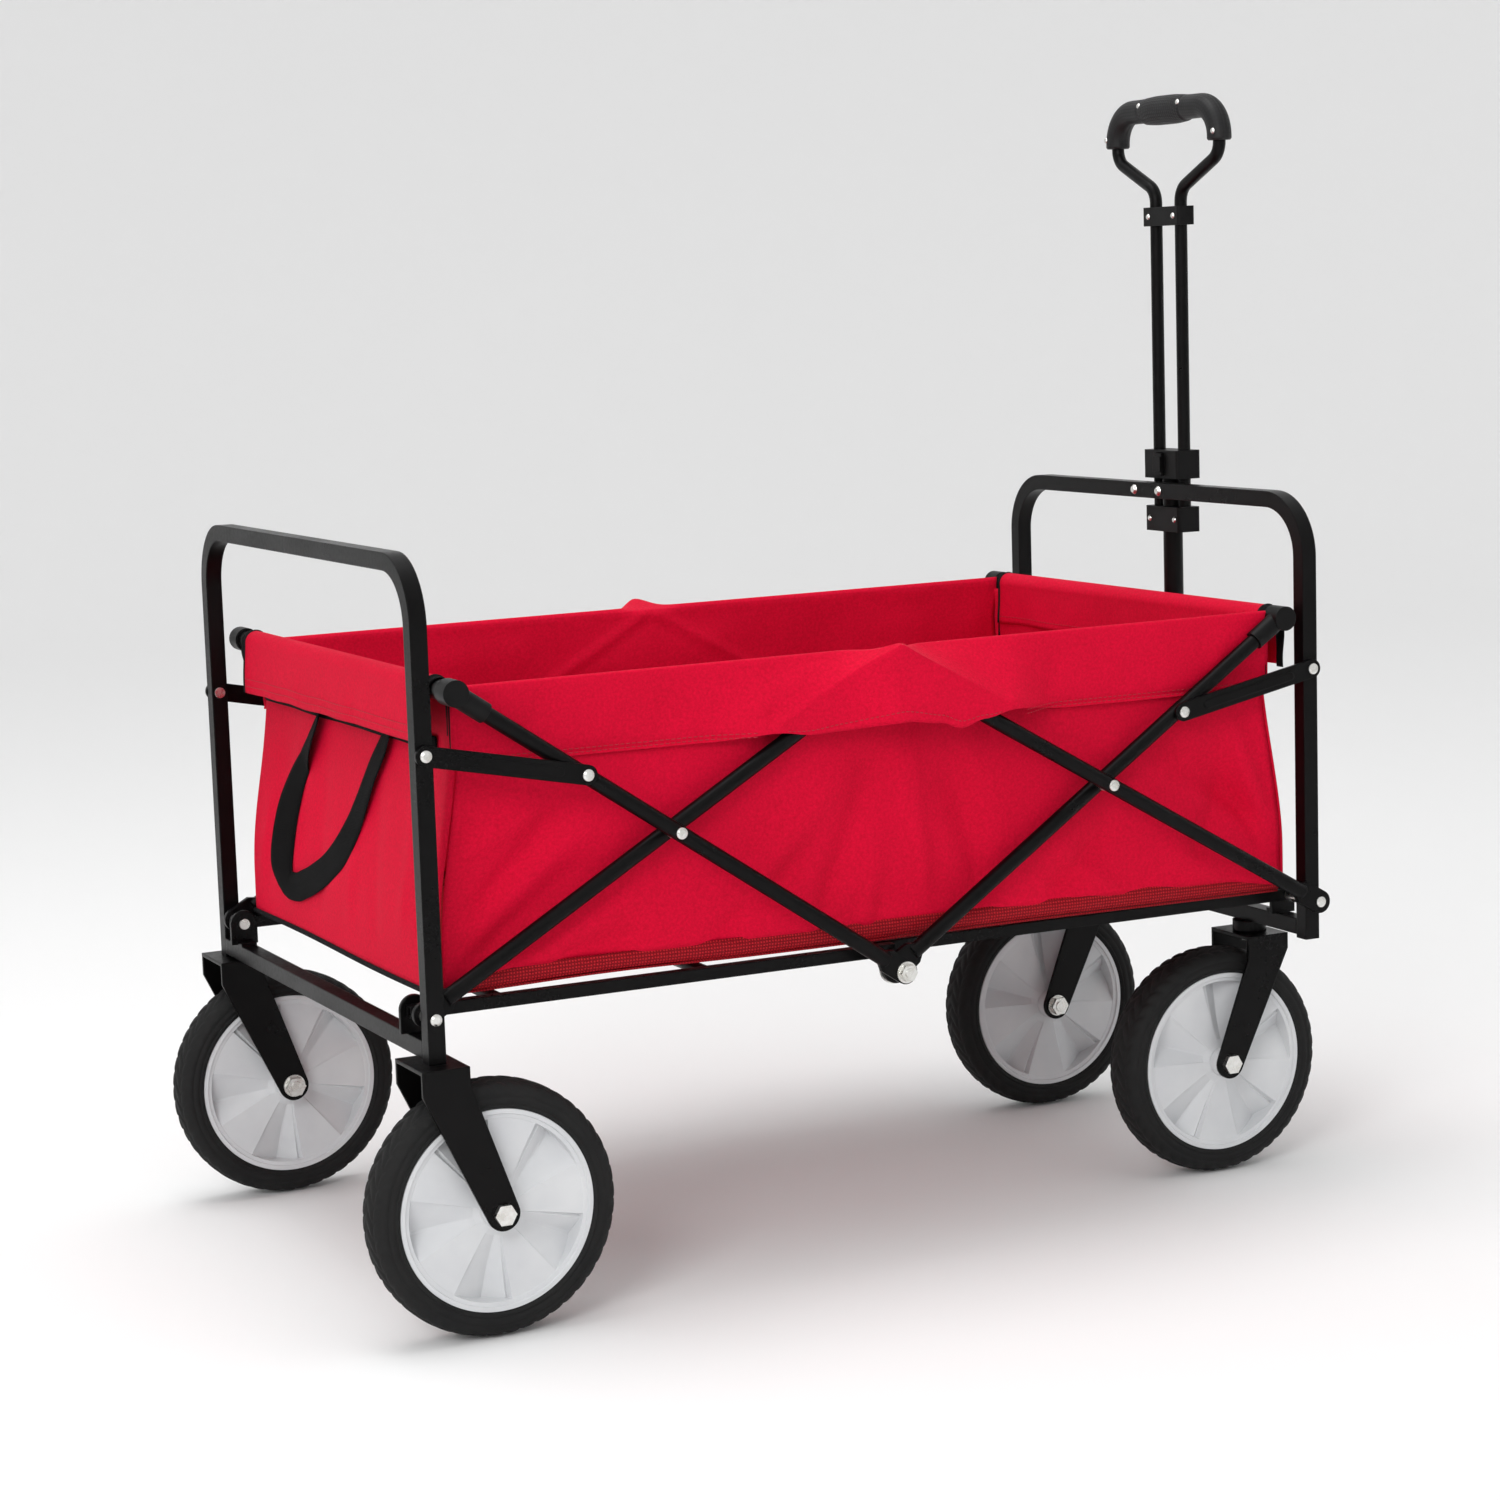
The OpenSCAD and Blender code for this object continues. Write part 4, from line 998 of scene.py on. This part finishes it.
# ------------------------------------------------------------------ handle grip
def make_grip():
    low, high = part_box("handle_grip_back")
    x = mm(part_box("handle_grip_front")[0].x)
    y_end = mm(high.y) - 11.0
    z_top = mm(high.z) - 11.0
    z_low = mm(low.z)
    bend = 28.0
    path, along = [], []
    for z in np.linspace(z_low, z_top - bend, 8, endpoint=False):
        path.append((y_end, z))
    for a in np.linspace(0, math.pi / 2, 16, endpoint=False):
        path.append((y_end - bend + bend * math.cos(a), z_top - bend + bend * math.sin(a)))
    half = path + [(y, z_top) for y in np.linspace(y_end - bend, 0, 24)]
    full = half + [(-y, z) for y, z in half[-2::-1]]
    full = np.array(full)
    tangent = np.gradient(full, axis=0)
    tangent /= np.linalg.norm(tangent, axis=1, keepdims=True)
    length = np.concatenate([[0], np.cumsum(np.linalg.norm(np.diff(full, axis=0), axis=1))])
    sides = 48
    points = np.zeros((len(full), sides, 3))
    uvs = np.zeros((len(full), sides, 2))
    for i, ((y, z), (ty, tz)) in enumerate(zip(full, tangent)):
        outward = np.array([-tz, ty]) * -1.0  # away from the loop's middle
        if outward.dot(np.array([y, z - (z_top - 40)])) < 0:
            outward = -outward
        r = 11.0 + 1.7 * math.exp(-((y / 30) ** 4)) * (1 if z > z_top - 2 else 0)
        step = 0.55 if 33 < abs(y) < 35.5 and z > z_top - 2 else 0.0
        end = min(length[i], length[-1] - length[i])
        r -= 1.2 * max(0.0, 1 - end / 2.2) ** 2 + step
        for k in range(sides):
            a = math.tau * k / sides
            ca, sa = math.cos(a), math.sin(a)
            split = math.exp(-((min(abs(a - math.pi / 2), abs(a - 3 * math.pi / 2)) / 0.045) ** 2)) * 0.6
            rr = r - split
            belly = 1.0 + (0.10 if sa < 0 and abs(y) < 34 and z > z_top - 2 else 0.0) * -sa
            off = outward * rr * sa * belly
            points[i, k] = (x + rr * ca, y + off[0], z + off[1])
            uvs[i, k] = (r * a * MM, length[i] * MM)
    faces = grid_faces(len(full), sides, wrap_v=True)
    faces.append(tuple(range(sides)))
    faces.append(tuple((len(full) - 1) * sides + k for k in range(sides - 1, -1, -1)))
    obj = piece("grip_skin", points.reshape(-1, 3), faces, grip_mat, "handle_slider", uvs.reshape(-1, 2))
    sharpen(obj, 60)
    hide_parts("handle_grip_back", "handle_grip_front")


make_grip()


# ------------------------------------------------------------------ floor and light
def stage():
    """A round studio floor that curves up into a pale wall, the same from every side."""
    flat, bend = 5.0, 3.0  # the flat floor's radius, and the curve's up to the wall
    wall = flat + bend
    outline = [(r, 0.0) for r in (0.0, 1.5, 3.0, flat)]
    outline += [(flat + bend * math.sin(a), bend - bend * math.cos(a)) for a in np.linspace(0.1, math.pi / 2, 14)]
    outline += [(wall, 4.5), (wall, 7.0)]
    sides = 96
    verts = [(r * math.cos(math.tau * k / sides), r * math.sin(math.tau * k / sides), z) for r, z in outline
             for k in range(sides)]
    obj = piece("studio_floor", verts, [f[::-1] for f in grid_faces(len(outline), sides, wrap_v=True)], None, None,
                scale=1.0)
    n = Nodes("studio_floor")
    n.set(Base_Color=(0.9, 0.9, 0.9, 1), Roughness=0.95)
    obj.data.materials.clear()
    obj.data.materials.append(n.material)
    obj.location = (0, 0, -0.0006)
    world = bpy.data.worlds.new("studio")
    world.use_nodes = True
    world.node_tree.nodes["Background"].inputs[0].default_value = (1, 1, 1, 1)
    world.node_tree.nodes["Background"].inputs[1].default_value = 0.9
    scene.world = world


def area_light(name, place, aim, size, power):
    data = bpy.data.lights.new(name, "AREA")
    data.shape = "RECTANGLE"
    data.size, data.size_y = size
    data.energy = power
    obj = bpy.data.objects.new(name, data)
    obj.location = place
    obj.rotation_euler = (Vector(aim) - Vector(place)).to_track_quat("-Z", "Y").to_euler()
    scene.collection.objects.link(obj)


stage()
area_light("key", (-2.3, -2.3, 1.9), (-0.25, 0, 0.3), (1.2, 1.0), 36)
area_light("top", (-0.6, 0.2, 3.2), (-0.1, 0, 0.3), (1.8, 1.6), 32)
scene.view_settings.view_transform = "Standard"


def write_size():
    import json


write_size()
